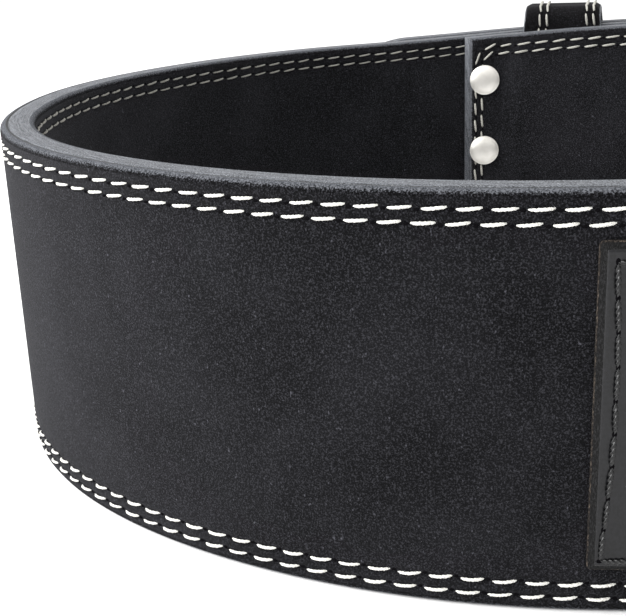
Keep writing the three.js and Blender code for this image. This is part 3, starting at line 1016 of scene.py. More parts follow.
@dataclass(frozen=True)
class StitchTree:
    """Geometry Nodes that set twisted stitches and their needle holes along edges.

    Attributes:
        plies: lobes of the thread's section.
        ring: corners of the section.
        stations: sections of one stitch.
        lobe: height of a ply's lobe, as a share of the thread's radius.
        seed: of the small differences between stitches.
        sway: largest turn of a stitch in its row, in radians.
        scales: least and most of a stitch's length, width and height, as shares.
        arch: height of a stitch's middle, as a share of the rise; its ends go as deep as is left.
        arch_power: how suddenly it dips at its ends.
        thinning: share of the thread's radius lost at its ends.
        thinning_power: how suddenly it thins there.
        hole_shape: width and depth of a needle hole, as shares of its length.
    """

    plies: int = 3
    ring: int = 9
    stations: int = 9
    lobe: float = 0.14
    seed: int = 7
    sway: float = 0.035
    scales: tuple[tuple[float, float], ...] = ((0.97, 1.02), (0.93, 1.06), (0.85, 1.1))
    arch: float = 0.62
    arch_power: float = 2.2
    thinning: float = 0.45
    thinning_power: float = 5.0
    hole_shape: tuple[float, float] = (0.62, 0.12)

    def build(self) -> Tree:
        """Make the tree with its named inputs.

        Returns:
            The node tree.
        """
        tree = bpy.data.node_groups.new("stitch_rows", "GeometryNodeTree")
        face = tree.interface
        face.new_socket("Geometry", in_out="INPUT", socket_type="NodeSocketGeometry")
        for name in ("Hole Place", "Stitch Length", "Thread Diameter", "Rise", "Tilt", "Twist", "Hole Width"):
            face.new_socket(name, in_out="INPUT", socket_type="NodeSocketFloat")
        for name in ("Thread", "Needle Hole"):
            face.new_socket(name, in_out="INPUT", socket_type="NodeSocketMaterial")
        face.new_socket("Geometry", in_out="OUTPUT", socket_type="NodeSocketGeometry")
        given = add_node(tree, "NodeGroupInput").node.outputs
        pair = add_node(tree, "GeometryNodeJoinGeometry")
        tree.links.new(self.stitch(tree, given), pair.node.inputs[0])
        tree.links.new(self.hole(tree, given), pair.node.inputs[0])
        curve = add_node(tree, "GeometryNodeMeshToCurve", {"Mesh": given["Geometry"]})
        pitch = add_node(tree, "GeometryNodeInputNamedAttribute", {"Name": ROW_PITCH}, data_type="FLOAT")
        spaced = {"Curve": curve, "Length": pitch}
        points = add_node(tree, "GeometryNodeResampleCurve", spaced, mode="LENGTH")
        rotation, scale = self.stance(tree, given)
        places = {"Points": points, "Instance": pair, "Rotation": rotation, "Scale": scale}
        placed = add_node(tree, "GeometryNodeInstanceOnPoints", places)
        smooth = add_node(tree, "GeometryNodeSetShadeSmooth", {"Geometry": placed})
        real = add_node(tree, "GeometryNodeRealizeInstances", {"Geometry": smooth})
        marked = add_node(tree, "GeometryNodeInputNamedAttribute", {"Name": IS_HOLE}, data_type="BOOLEAN")
        threads = {"Geometry": real, "Material": given["Thread"]}
        sewn = add_node(tree, "GeometryNodeSetMaterial", threads)
        holes = {"Geometry": sewn, "Selection": marked, "Material": given["Needle Hole"]}
        both = add_node(tree, "GeometryNodeSetMaterial", holes)
        fill(tree, tree.nodes.new("NodeGroupOutput"), {"Geometry": both})
        return tree

    def stance(self, tree: Tree, given: object) -> tuple[Socket, Socket]:
        """Turn each stitch along its row and out of the leather, and vary it a little.

        Args:
            tree: the node tree.
            given: the tree's inputs.

        Returns:
            Sockets of the rotation and of the scale.
        """
        out = {"Name": FACE_NORMAL}
        normal = add_node(tree, "GeometryNodeInputNamedAttribute", out, data_type="FLOAT_VECTOR")
        along = add_node(tree, "GeometryNodeInputTangent")
        axes = {"Primary Axis": normal, "Secondary Axis": along}
        turn = add_node(tree, "FunctionNodeAxesToRotation", axes, primary_axis="Z", secondary_axis="X")
        chances = []
        for i, (low, high) in enumerate(((-self.sway, self.sway), *self.scales)):
            limits = {2: low, 3: high, "Seed": self.seed + i}
            chance = add_node(tree, "FunctionNodeRandomValue", limits, data_type="FLOAT")
            chances.append(chance.node.outputs[1])
        tilt = add_node(tree, MATH, {0: given["Tilt"], 1: chances[0]}, operation="ADD")
        upright = {"Axis": (0.0, 0.0, 1.0), "Angle": tilt}
        lean = add_node(tree, "FunctionNodeAxisAngleToRotation", upright)
        turns = {"Rotation": turn, "Rotate By": lean}
        rotation = add_node(tree, "FunctionNodeRotateRotation", turns, rotation_space="LOCAL")
        scale = add_node(tree, "ShaderNodeCombineXYZ", dict(enumerate(chances[1:])))
        return rotation, scale

    def stitch(self, tree: Tree, given: object) -> Socket:
        """One arched stitch along X, its ends dipping into the leather.

        Args:
            tree: the node tree.
            given: the tree's inputs.

        Returns:
            The stitch's mesh socket.
        """
        half = add_node(tree, MATH, {0: given["Stitch Length"], 1: 0.5}, operation="MULTIPLY")
        back = add_node(tree, MATH, {0: half, 1: -1.0}, operation="MULTIPLY")
        start = add_node(tree, "ShaderNodeCombineXYZ", {0: back})
        end = add_node(tree, "ShaderNodeCombineXYZ", {0: half})
        line = add_node(tree, "GeometryNodeCurvePrimitiveLine", {"Start": start, "End": end})
        cut = add_node(tree, "GeometryNodeResampleCurve", {"Curve": line, "Count": self.stations})
        share = add_node(tree, "GeometryNodeSplineParameter")
        centred = add_node(tree, MATH, {0: share, 1: 2.0, 2: -1.0}, operation="MULTIPLY_ADD")
        away = add_node(tree, MATH, {0: centred}, operation="ABSOLUTE")
        dip = add_node(tree, MATH, {0: away, 1: self.arch_power}, operation="POWER")
        arch = add_node(tree, MATH, {0: self.arch, 1: dip}, operation="SUBTRACT")
        height = add_node(tree, MATH, {0: arch, 1: given["Rise"]}, operation="MULTIPLY")
        offset = add_node(tree, "ShaderNodeCombineXYZ", {2: height})
        bent = add_node(tree, "GeometryNodeSetPosition", {"Geometry": cut, "Offset": offset})
        steep = add_node(tree, MATH, {0: away, 1: self.thinning_power}, operation="POWER")
        thinner = {0: steep, 1: -self.thinning, 2: 1.0}
        slim = add_node(tree, MATH, thinner, operation="MULTIPLY_ADD")
        thick = add_node(tree, MATH, {0: given["Thread Diameter"], 1: 0.5}, operation="MULTIPLY")
        radius = add_node(tree, MATH, {0: slim, 1: thick}, operation="MULTIPLY")
        twist = add_node(tree, MATH, {0: share, 1: given["Twist"]}, operation="MULTIPLY")
        tilted = add_node(tree, "GeometryNodeSetCurveTilt", {"Curve": bent, "Tilt": twist})
        skin = {"Curve": tilted, "Profile Curve": self.profile(tree), "Scale": radius, "Fill Caps": True}
        return add_node(tree, "GeometryNodeCurveToMesh", skin)

    def profile(self, tree: Tree) -> Socket:
        """The thread's section: a circle of radius one with a lobe for each ply.

        Args:
            tree: the node tree.

        Returns:
            The section's curve socket.
        """
        circle = add_node(tree, "GeometryNodeCurvePrimitiveCircle", {"Resolution": self.ring, "Radius": 1.0})
        share = add_node(tree, "GeometryNodeSplineParameter")
        full = 2 * math.pi * self.plies
        turn = add_node(tree, MATH, {0: share, 1: full}, operation="MULTIPLY")
        ripple = add_node(tree, MATH, {0: turn}, operation="COSINE")
        lobe = add_node(tree, MATH, {0: ripple, 1: self.lobe}, operation="MULTIPLY")
        place = add_node(tree, "GeometryNodeInputPosition")
        out = add_node(tree, "ShaderNodeVectorMath", {0: place, "Scale": lobe}, operation="SCALE")
        links = {"Geometry": circle, "Offset": out}
        return add_node(tree, "GeometryNodeSetPosition", links)

    def hole(self, tree: Tree, given: object) -> Socket:
        """The needle hole after a stitch, as a thin dark lens in the leather's face: painted shade for the
        hole.

        Args:
            tree: the node tree.
            given: the tree's inputs.

        Returns:
            The hole's mesh socket.
        """
        coarse = {"Segments": 8, "Rings": 4, "Radius": 1.0}
        ball = add_node(tree, "GeometryNodeMeshUVSphere", coarse)
        middle = add_node(tree, "ShaderNodeCombineXYZ", {0: given["Hole Place"]})
        sizes = [given["Hole Width"]]
        for share in self.hole_shape:
            shrunk = add_node(tree, MATH, {0: given["Hole Width"], 1: share}, operation="MULTIPLY")
            sizes.append(shrunk)
        size = add_node(tree, "ShaderNodeCombineXYZ", dict(enumerate(sizes)))
        links = {"Geometry": ball, "Translation": middle, "Scale": size}
        moved = add_node(tree, "GeometryNodeTransform", links)
        mark = {"Geometry": moved, "Name": IS_HOLE, "Value": True}
        marked = add_node(tree, "GeometryNodeStoreNamedAttribute", mark, data_type="BOOLEAN", domain="FACE")
        return marked


@dataclass(frozen=True)
class StitchSizes:
    """Sizes of one kind of seam, in millimetres and radians."""

    pitch: float = 7.46
    length: float = 5.4
    diameter: float = 0.8
    rise: float = 0.75
    tilt: float = math.radians(5.5)
    twist: float = math.radians(620)
    hole_width: float = 0.62


@dataclass
class SeamRows:
    """Rows of stitches of one seam, drawn as edges and set by the stitch tree.

    Attributes:
        name: the piece's name.
        tree: the stitch tree.
        sizes: the seam's sizes.
        thread: material of the thread.
        needle_hole: material of the holes.
        slack: share of the pitch that is kept, so that rounding doesn't lose a row's last stitch.
    """

    name: str
    tree: Tree
    sizes: StitchSizes
    thread: Material
    needle_hole: Material
    slack: float = 0.99999

    def build(self, rows: list[Row]) -> Piece:
        """Set the stitches along the rows.

        Args:
            rows: for each row its points, the directions out of the leather, and True if it is closed.

        Returns:
            The stitches as one plain mesh.
        """
        points, normals, pitches, edges = [], [], [], []
        for line, out, closed in rows:
            start = len(points)
            path = np.concatenate([line, line[:1]]) if closed else line
            length = np.linalg.norm(np.diff(path, axis=0), axis=1).sum()
            fitted = length / round(length / self.sizes.pitch) * self.slack
            pitches.extend([fitted * MM] * len(line))
            points.extend(line.tolist())
            normals.extend(out.tolist())
            edges.extend((start + i, start + i + 1) for i in range(len(line) - 1))
            if closed:
                edges.append((start + len(line) - 1, start))
        mesh = bpy.data.meshes.new(self.name)
        mesh.from_pydata((np.array(points) * MM).tolist(), edges, [])
        attribute = mesh.attributes.new(FACE_NORMAL, "FLOAT_VECTOR", "POINT")
        attribute.data.foreach_set("vector", np.array(normals, np.float32).ravel())
        attribute = mesh.attributes.new(ROW_PITCH, "FLOAT", "POINT")
        attribute.data.foreach_set("value", np.array(pitches, np.float32))
        piece = bpy.data.objects.new(self.name, mesh)
        bpy.context.scene.collection.objects.link(piece)
        modifier = piece.modifiers.new("stitches", "NODES")
        modifier.node_group = self.tree
        values = {
            "Hole Place": self.sizes.pitch / 2 * MM,
            "Stitch Length": self.sizes.length * MM,
            "Thread Diameter": self.sizes.diameter * MM,
            "Rise": self.sizes.rise * MM,
            "Tilt": self.sizes.tilt,
            "Twist": self.sizes.twist,
            "Hole Width": self.sizes.hole_width * MM,
            "Thread": self.thread,
            "Needle Hole": self.needle_hole,
        }
        for item in self.tree.interface.items_tree:
            if item.in_out == "INPUT" and item.name in values:
                modifier[item.identifier] = values[item.name]
        bake(piece)
        return piece


# The strap


@dataclass
class Strap:
    """The leather strap with its grooves, holes and dyed edges, and the stitch rows on both faces.

    Attributes:
        form: how the strap runs.
        rounding: radius of the edges.
        corner_radius: of the free end's two corners.
        row_insets: distances of the two stitch rows from the upper edge.
        lower_insets: distances of the two rows from the lower edge.
        flap_turn: radius in which the outer row turns at the flap's end.
        stagger: how far the inner of two rows starts after the outer one, and ends before it.
        corner_steps: segments of the free end's two corners.
        fold_margin: how far the finer columns reach past the fold.
        end_margin: least room between a straight run's last column or stitch and its end.
        groove_offsets: places of the rings about a stitch groove.
        slant_pivot: share of the thickness about which the flap's end leans.
        lower_layers: rows of the cut edge below the line between its layers, as shares.
        punch_margin: how far a punch reaches past the leather.
        inner_start: where the rows on the inner face start, from the bar.
    """

    form: StrapForm
    suede: Material
    edge: Material
    frayed: Material
    rounding: float = 1.7
    rounding_steps: int = 4
    corner_radius: float = 36.0
    row_insets: tuple[float, float] = (4.13, 7.44)
    lower_insets: tuple[float, float] = (3.64, 7.25)
    flap_turn: float = 9.0
    stagger: tuple[float, float] = (2.0, 6.0)
    groove_depth: float = 0.3
    groove_width: float = 0.5
    frame_inset: float = 9.5
    spacing: float = 2.6
    fold_spacing: float = 1.0
    rows_across: int = 14
    layer_line: float = 0.9
    layer_depth: float = 0.4
    layer_width: float = 0.03
    flap_slant: float = 3.0
    hole_diameter: float = 9.0
    hole_pitch: float = 28.0
    holes_towards_end: int = 3
    holes_towards_back: int = 6
    prong_hole: float = 17.0
    corner_steps: int = 24
    turn_steps: int = 12
    hole_steps: int = 40
    fold_margin: float = 4.0
    end_margin: float = 2.0
    groove_offsets: tuple[float, ...] = (-1.4, -0.75, -0.4, 0.0, 0.4, 0.75, 1.4)
    slant_pivot: float = 0.35
    lower_layers: tuple[float, ...] = (0.66, 0.44, 0.22)
    punch_margin: float = 1.0
    inner_start: float = 30.0

    def columns(self) -> tuple[Array, Array]:
        """Upper outline and its inward directions, from the free end's straight part to the flap's end.

        Returns:
            Points (run, up) and directions, one row for each column.
        """
        start = -self.form.tongue_length
        radius = self.corner_radius
        turns = np.linspace(math.pi, math.pi / 2, self.corner_steps + 1)
        arc = np.stack([np.cos(turns), np.sin(turns)], axis=1)
        centre = np.array([start + radius, self.form.height - radius])
        fold = (self.form.bar_run - self.fold_margin, self.form.flap_run + self.fold_margin)
        last = self.form.end_run - self.frame_inset - self.end_margin
        runs = np.concatenate([
            spread(start + radius, fold[0], self.spacing)[1:],
            spread(fold[0], fold[1], self.fold_spacing)[1:],
            spread(fold[1], last, self.spacing)[1:],
        ])
        straight = np.stack([runs, np.full(len(runs), self.form.height)], axis=1)
        corner = np.array([[self.form.end_run, self.form.height]])
        points = np.concatenate([centre + arc * radius, straight, corner])
        inward = np.concatenate([-arc, np.tile([0.0, -1.0], (len(runs), 1)), [[-1.0, -1.0]]])
        return points, inward

    def ring(self, inset: float) -> Array:
        """Closed outline of the flat strap at an inset from its edge.

        Args:
            inset: distance from the edge, in millimetres.

        Returns:
            Points (run, up): top side, flap's end, bottom side and free end.
        """
        points, inward = self.columns()
        top = points + inward * inset
        bottom = np.stack([top[:, 0], self.form.height - top[:, 1]], axis=1)
        shares = np.linspace(0, 1, self.rows_across + 1)[1:-1, None]
        flap_end = top[-1] + (bottom[-1] - top[-1]) * shares
        free_end = bottom[0] + (top[0] - bottom[0]) * shares
        return np.concatenate([top, flap_end, bottom[::-1], free_end])

    def rings(self) -> tuple[Array, Array]:
        """Insets of the rings and how far the face sinks at each.

        Returns:
            Insets and sinks, from the edge inwards.
        """
        turns = np.linspace(0, math.pi / 2, self.rounding_steps + 1)
        edge = self.rounding * (1 - np.cos(turns))
        rounding = self.rounding * (1 - np.sin(turns))
        rows = [sum(pair) / 2 for pair in zip(self.row_insets, self.lower_insets)]
        grooves = np.concatenate([row + np.array(self.groove_offsets) for row in rows])
        insets = np.concatenate([edge, grooves, [self.frame_inset]])
        depth = np.zeros(len(insets))
        for row in rows:
            depth += self.groove_depth * np.exp(-(((insets - row) / self.groove_width) ** 2))
        depth[: len(edge)] = rounding
        return insets, depth

    def build_leather(self) -> Piece:
        """The strap's leather as one closed mesh with both faces, its edges and its holes.

        Returns:
            The leather, not yet cut by holes and prong.
        """
        insets, sinks = self.rings()
        outlines = [self.ring(inset) for inset in insets]
        columns = len(self.columns()[0])
        count = len(outlines[0])
        across = self.rows_across
        top = outlines[-1][:columns]
        bottom = outlines[-1][columns + across - 1 : 2 * columns + across - 1][::-1]
        steps = np.linspace(0, 1, across + 1)[1:-1]
        middle = top[:, None] + (bottom - top)[:, None] * steps[None, :, None]
        inner_points = middle[1:-1].reshape(-1, 2)
        layers = self.edge_layers()
        points, flat, shares, depths, faces, slots = [], [], [], [], [], []

        def add(rows: Array, through: Array | float, outer: bool, depth: float, share: float) -> int:
            """Add points and give the number of the first.

            Args:
                rows: points (run, up).
                through: depth from the inner face, or height above the outer one.
                outer: True if through starts at the outer face.
                depth: share of the thickness, from the inner face.
                share: how far the points belong to the edge.

            Returns:
                Number of the first point.
            """
            first = sum(len(p) for p in points)
            points.append(self.place(rows, np.broadcast_to(through, len(rows)), outer))
            flat.append(np.stack([rows[:, 0], rows[:, 1] + depth * self.form.thickness], axis=1))
            shares.append(np.full(len(rows), share))
            depths.append(np.full(len(rows), depth))
            return first

        starts = []
        for side in (Side.OUTER, Side.INNER):
            outer = side is Side.OUTER
            firsts = []
            for k, (line, sink) in enumerate(zip(outlines, sinks)):
                share = max(1 - k / self.rounding_steps, 0)
                firsts.append(add(line, -side.value * sink, outer, float(outer), share))
            inside = add(inner_points, 0.0, outer, float(outer), 0)
            starts.append(firsts[0])
            for k, (here, there) in enumerate(zip(firsts, firsts[1:])):
                for i in range(count):
                    after = (i + 1) % count
                    quad = (here + i, here + after, there + after, there + i)
                    faces.append(quad if outer else quad[::-1])
                    slots.append(2 if k < self.rounding_steps else 0)
            rim = firsts[-1]
            grid = self.grid(rim, inside, columns, across)
            for i in range(columns - 1):
                for k in range(across):
                    quad = (grid[i][k], grid[i + 1][k], grid[i + 1][k + 1], grid[i][k + 1])
                    faces.append(quad if outer else quad[::-1])
                    slots.append(0)
        previous = starts[0]
        for share, dent in layers:
            line = self.ring(dent)
            _, _, thick, _ = self.form.section(line[:, 0])
            through = self.rounding + share * (thick - 2 * self.rounding)
            first = add(line, through, False, share, 1)
            self.join(faces, slots, previous, first, count)
            previous = first
        self.join(faces, slots, previous, starts[1], count)
        materials = [self.suede, self.edge, self.frayed]
        piece = mesh_object("belt_strap_leather", np.concatenate(points), faces, materials)
        piece.data.polygons.foreach_set("material_index", slots)
        uv = piece.data.uv_layers.new(name=SURFACE_MAP)
        corners = np.empty(len(piece.data.loops), int)
        piece.data.loops.foreach_get("vertex_index", corners)
        uv.data.foreach_set("uv", (np.concatenate(flat)[corners] * MM).astype(np.float32).ravel())
        for name, values in ((EDGE_SHARE, shares), (LAYER_SHARE, depths)):
            attribute = piece.data.attributes.new(name, "FLOAT", "POINT")
            attribute.data.foreach_set("value", np.concatenate(values).astype(np.float32))
        tidy(piece)
        return piece

    def place(self, rows: Array, through: Array, outer: bool) -> Array:
        """Places in the frame, with the flap's end cut at a slant.

        Args:
            rows: points (run, up).
            through: depth from the inner face, or height above the outer one.
            outer: True if through starts at the outer face.

        Returns:
            Points in millimetres.
        """
        _, _, thick, _ = self.form.section(rows[:, 0])
        share = (through + (thick if outer else 0)) / thick
        near = np.clip((rows[:, 0] - self.form.end_run + self.frame_inset) / self.frame_inset, 0, 1)
        run = rows[:, 0] - self.flap_slant * (share - self.slant_pivot) * near**2
        return self.form.at(run, rows[:, 1], through, outer)

    def edge_layers(self) -> list[tuple[float, float]]:
        """Rows between the two faces on the cut edge.

        Returns:
            For each its share of the thickness from the inner side, and the depth of its dent.
        """
        line = self.layer_line
        wide = self.layer_width
        rows = [(line + wide, 0.0), (line, self.layer_depth), (line - wide, 0.0)]
        return rows + [(share, 0.0) for share in self.lower_layers]

    def join(self, faces: list, slots: list, here: int, there: int, count: int) -> None:
        """Faces of the cut edge between two rings.

        Args:
            faces: all faces, which get the new ones.
            slots: their material slots.
            here: number of the first ring's first corner.
            there: number of the second ring's.
            count: corners of a ring.
        """
        for i in range(count):
            after = (i + 1) % count
            faces.append((here + after, here + i, there + i, there + after))
            slots.append(1)

    def grid(self, rim: int, inside: int, columns: int, across: int) -> list[list[int]]:
        """Corner numbers of the face inside the last ring, by column and row.

        Args:
            rim: number of the last ring's first corner.
            inside: number of the first corner inside it.
            columns: corners along the strap.
            across: segments across it.

        Returns:
            A list for each column.
        """
        flap_end = rim + columns
        bottom = flap_end + across - 1
        free_end = bottom + columns
        rows = []
        for i in range(columns):
            low = bottom + columns - 1 - i
            if i == 0:
                middle = [free_end + across - 2 - k for k in range(across - 1)]
            elif i == columns - 1:
                middle = [flap_end + k for k in range(across - 1)]
            else:
                first = inside + (i - 1) * (across - 1)
                middle = [first + k for k in range(across - 1)]
            rows.append([rim + i, *middle, low])
        return rows

    def cutters(self) -> Piece:
        """Round punches for the strap's holes, as one object.

        Returns:
            The punches.
        """
        turns = np.linspace(0, 2 * math.pi, self.hole_steps, endpoint=False)
        rings, faces = [], []
        for i in range(-self.holes_towards_end, self.holes_towards_back + 1):
            along = self.prong_hole + i * self.hole_pitch
            inner = float(self.form.inner_face(np.array(along)))
            deep = inner - (self.form.tongue_clearance / 2 if i < 0 else self.punch_margin)
            across = self.form.loop.tangent(np.array(along))
            first = len(rings) * len(turns)
            for out in (deep, inner + self.form.thickness + self.punch_margin):
                up = float(self.form.lift(along)) + self.form.height / 2
                centre = self.form.loop.place(np.array(along), np.array(out), np.array(up))
                flat = centre[:2] + np.cos(turns)[:, None] * across * self.hole_diameter / 2
                height = centre[2] + np.sin(turns) * self.hole_diameter / 2
                rings.append(np.column_stack([flat, height]))
            local = tube_faces(2, len(turns), False) + cap_faces(2, len(turns))
            faces += [tuple(first + corner for corner in face) for face in local]
        piece = mesh_object("punches", np.concatenate(rings), faces, [self.edge])
        tidy(piece)
        return piece

    def row_path(self, rank: int) -> Array:
        """Closed path of one stitch row on the flat strap.

        Args:
            rank: 0 for the row by the edge, 1 for the one inside it.

        Returns:
            Points (run, up).
        """
        top, low = self.row_insets[rank], self.lower_insets[rank]
        start, end = -self.form.tongue_length, self.form.end_run
        flap_turn = self.flap_turn - (self.row_insets[rank] - self.row_insets[0])
        big = self.corner_radius - top
        height = self.form.height
        quarter = np.linspace(0, math.pi / 2, self.turn_steps + 1)
        corners = (
            ((start + top + big, height - top - big), big, math.pi),
            ((end - top - flap_turn, height - top - flap_turn), flap_turn, math.pi / 2),
            ((end - top - flap_turn, low + flap_turn), flap_turn, 0.0),
            ((start + top + big, low + big), big, -math.pi / 2),
        )
        arcs = [
            np.array(centre) + radius * np.stack([np.cos(first - quarter), np.sin(first - quarter)], axis=1)
            for centre, radius, first in corners
        ]
        runs = spread(arcs[0][-1, 0], arcs[1][0, 0], self.fold_spacing)[1:-1]
        upper = np.stack([runs, np.full(len(runs), height - top)], axis=1)
        lower = np.stack([runs[::-1], np.full(len(runs), low)], axis=1)
        return np.concatenate([arcs[0], upper, arcs[1], arcs[2], lower, arcs[3]])

    def stitch_line(self, path: Array, side: Side) -> tuple[Array, Array]:
        """A row's points and outward directions on one face.

        Args:
            path: points (run, up).
            side: the face.

        Returns:
            Points in millimetres, and directions out of the leather.
        """
        points = self.form.at(path[:, 0], path[:, 1], np.zeros(len(path)), side is Side.OUTER)
        _, facing, _, _ = self.form.section(path[:, 0])
        out = np.concatenate([facing * side.value, np.zeros((len(path), 1))], axis=1)
        return points, out

    def outer_rows(self, flap: bool) -> list[Row]:
        """Both rows on the outer face, either of the flap or of all before the fold.

        Args:
            flap: True for the flap's rows, which turn at its end.

        Returns:
            The rows, open at the fold.
        """
        rows = []
        middle = self.form.bar_run + self.form.fold_length / 2
        for rank in (0, 1):
            path = self.row_path(rank)
            inside = (path[:, 0] > middle) == flap
            first = int(np.flatnonzero(inside & ~np.roll(inside, 1))[0])
            path = np.roll(path, -first, axis=0)[: inside.sum()]
            early, late = (round(rank * cut / self.fold_spacing) for cut in self.stagger)
            path = path[early : len(path) - late]
            rows.append((*self.stitch_line(path, Side.OUTER), False))
        return rows

    def inner_rows(self) -> list[Row]:
        """The rows on the inner face where it can be seen: from the buckle round to the flap's end.

        Returns:
            The rows, open at both ends.
        """
        last = self.form.bar_run - self.form.flap_length - self.end_margin
        runs = spread(self.inner_start, last, self.spacing)
        rows = []
        for rank in (0, 1):
            heights = (self.form.height - self.row_insets[rank], self.lower_insets[rank])
            for up, order in zip(heights, (1, -1)):
                path = np.stack([runs, np.full(len(runs), up)], axis=1)[::order]
                rows.append((*self.stitch_line(path, Side.INNER), False))
        return rows


# The buckle


@dataclass
class Buckle:
    """Round-bar frame, with the prong from its bar through the strap to its far side."""

    form: StrapForm
    steel: Material
    prong_hole: float = 17.0
    prong_thickness: float = 5.0
    prong_width: float = 7.0
    prong_taper: float = 0.25
    prong_corner: float = 1.6
    prong_corner_share: float = 0.45
    prong_arch: float = 2.4
    prong_bend: float = 0.6
    prong_seat: float = 1.0
    prong_tip_reach: float = 6.0
    prong_tip_drop: float = 0.5
    prong_clearance: float = 0.6
    nose_start: float = 0.93
    nose_length: float = 0.07
    nose_least: float = 0.04
    ring_wall: float = 1.8
    ring_rim: float = 0.7
    around: int = 28
    corner_steps: int = 10
    slot_spacing: float = 2.0

    def __post_init__(self) -> None:
        """Work out where the bar and the frame's far side are."""
        form = self.form
        zero = np.array(0.0)
        self.bar = form.loop.plan(zero, zero - form.thickness - form.fold_radius)
        reach = np.array(form.frame_reach)
        self.far_out = float(form.inner_face(reach)) + form.thickness + FIT + form.bar_diameter / 2
        self.far = form.loop.plan(reach, np.array(self.far_out))
        self.middle = form.buckle_lift + form.height / 2

    def frame(self) -> Piece:
        """The round bar bent to a rectangle.

        Returns:
            The frame as a closed mesh.
        """
        form = self.form
        radius = form.bar_diameter / 2
        across = self.far - self.bar
        reach = float(np.linalg.norm(across))
        across = across / reach
        sideways = np.array([-across[1], across[0]])
        height = form.height + 2 * form.frame_end_clearance + form.bar_diameter
        line = rounded_rectangle(reach, height, form.frame_end_clearance + radius, self.corner_steps)
        run = np.roll(line, -1, axis=0) - np.roll(line, 1, axis=0)
        run = run / np.linalg.norm(run, axis=1, keepdims=True)
        turns = np.linspace(0, 2 * math.pi, self.around, endpoint=False)
        in_plane = line[:, 0, None] + run[:, 1, None] * radius * np.cos(turns)
        up = line[:, 1, None] - run[:, 0, None] * radius * np.cos(turns) + radius
        off = np.broadcast_to(radius * np.sin(turns), up.shape)
        plan = self.bar + in_plane[..., None] * across + off[..., None] * sideways
        points = np.concatenate([plan, up[..., None]], axis=-1).reshape(-1, 3)
        piece = mesh_object("buckle_polished", points, tube_faces(len(line), self.around, True), [self.steel])
        tidy(piece)
        return piece

    def prong(self, extra: float, steps: int = 56) -> Piece:
        """The bent prong, or with extra its way through the leather.

        Args:
            extra: added all round, in millimetres.
            steps: sections along it.

        Returns:
            The prong as a closed mesh.
        """
        form, loop = self.form, self.form.loop
        hole, reach = self.prong_hole, form.frame_reach
        over = self.far_out + form.bar_diameter / 2 + self.prong_thickness / 2 - self.prong_seat
        midway = float(form.inner_face(np.array(hole))) + form.thickness / 2
        near = (midway - form.thickness - form.fold_radius) / 2 - self.prong_bend
        route = [
            self.bar,
            loop.plan(np.array(hole / 2), np.array(near)),
            loop.plan(np.array(hole), np.array(midway)),
            loop.plan(np.array((hole + reach) / 2), np.array((midway + over) / 2 + self.prong_arch)),
            loop.plan(np.array(reach), np.array(over)),
            loop.plan(np.array(reach + self.prong_tip_reach), np.array(over - self.prong_tip_drop)),
        ]
        line = smooth_route(route, steps)
        run = np.gradient(line, axis=0)
        run = run / np.linalg.norm(run, axis=1, keepdims=True)
        side = np.stack([-run[:, 1], run[:, 0]], axis=1)
        rings = []
        for i, (centre, out) in enumerate(zip(line, side)):
            share = i / (len(line) - 1)
            rounding = 1 - max((share - self.nose_start) / self.nose_length, 0) ** 2
            nose = math.sqrt(max(rounding, self.nose_least)) if extra == 0 else 1.0
            slim = (1 - self.prong_taper * share) * nose
            thick, wide = self.prong_thickness * slim + 2 * extra, self.prong_width * slim + 2 * extra
            corner = min(self.prong_corner, self.prong_corner_share * thick)
            outline = rounded_rectangle(thick, wide, corner, 4) - np.array([thick, wide]) / 2
            plan = centre + outline[:, :1] * out
            rings.append(np.column_stack([plan, self.middle + outline[:, 1]]))
        count = len(rings[0])
        faces = tube_faces(len(rings), count, False) + cap_faces(len(rings), count)
        piece = mesh_object("prong", np.concatenate(rings), faces, [self.steel])
        tidy(piece)
        return piece

    def ring(self) -> Piece:
        """The prong's rolled eye round the bar, with rounded rims.

        Returns:
            The eye as a closed mesh.
        """
        radius = self.form.bar_diameter / 2 + self.ring_wall
        half = self.prong_width / 2 + self.ring_wall
        rim = self.ring_rim
        turns = np.linspace(0, math.pi / 2, 5)
        outline = [(0.0, -half)]
        outline += [(radius - rim + rim * math.sin(t), -half + rim - rim * math.cos(t)) for t in turns]
        outline += [(radius - rim + rim * math.cos(t), half - rim + rim * math.sin(t)) for t in turns]
        outline += [(0.0, half)]
        piece = lathe("prong_eye", outline, self.around, [self.steel])
        piece.data.transform(Matrix.Translation(Vector((*self.bar, self.middle)) * MM))
        return piece

    def build(self) -> Piece:
        """Frame, prong and eye as one body.

        Returns:
            The buckle.
        """
        piece = self.frame()
        with_boolean(piece, self.ring(), "UNION")
        with_boolean(piece, self.prong(0.0), "UNION")
        return piece

    def fold_slot(self, edge: Material) -> Piece:
        """The slot in the fold that the eye sits in.

        Args:
            edge: material of its walls.

        Returns:
            The slot's solid.
        """
        form = self.form
        half = form.bar_diameter / 2 + self.ring_wall + self.prong_clearance + form.fold_thickness
        along = spread(-half, half, self.slot_spacing)
        pared = -form.thickness + form.pared(np.abs(along))
        outer = form.loop.plan(along, (pared + form.inner_face(along)) / 2)
        deep = -2 * form.thickness - 2 * form.fold_radius
        back = form.loop.plan(np.array([half, -half]), np.array([deep, deep]))
        outline = np.concatenate([outer, back])
        height = self.prong_width + 2 * self.ring_wall + 2 * self.prong_clearance
        levels = [self.middle + end * height / 2 for end in (-1, 1)]
        rings = [np.column_stack([outline, np.full(len(outline), level)]) for level in levels]
        faces = tube_faces(2, len(outline), False) + cap_faces(2, len(outline))
        piece = mesh_object("fold_slot", np.concatenate(rings), faces, [edge])
        tidy(piece)
        return piece


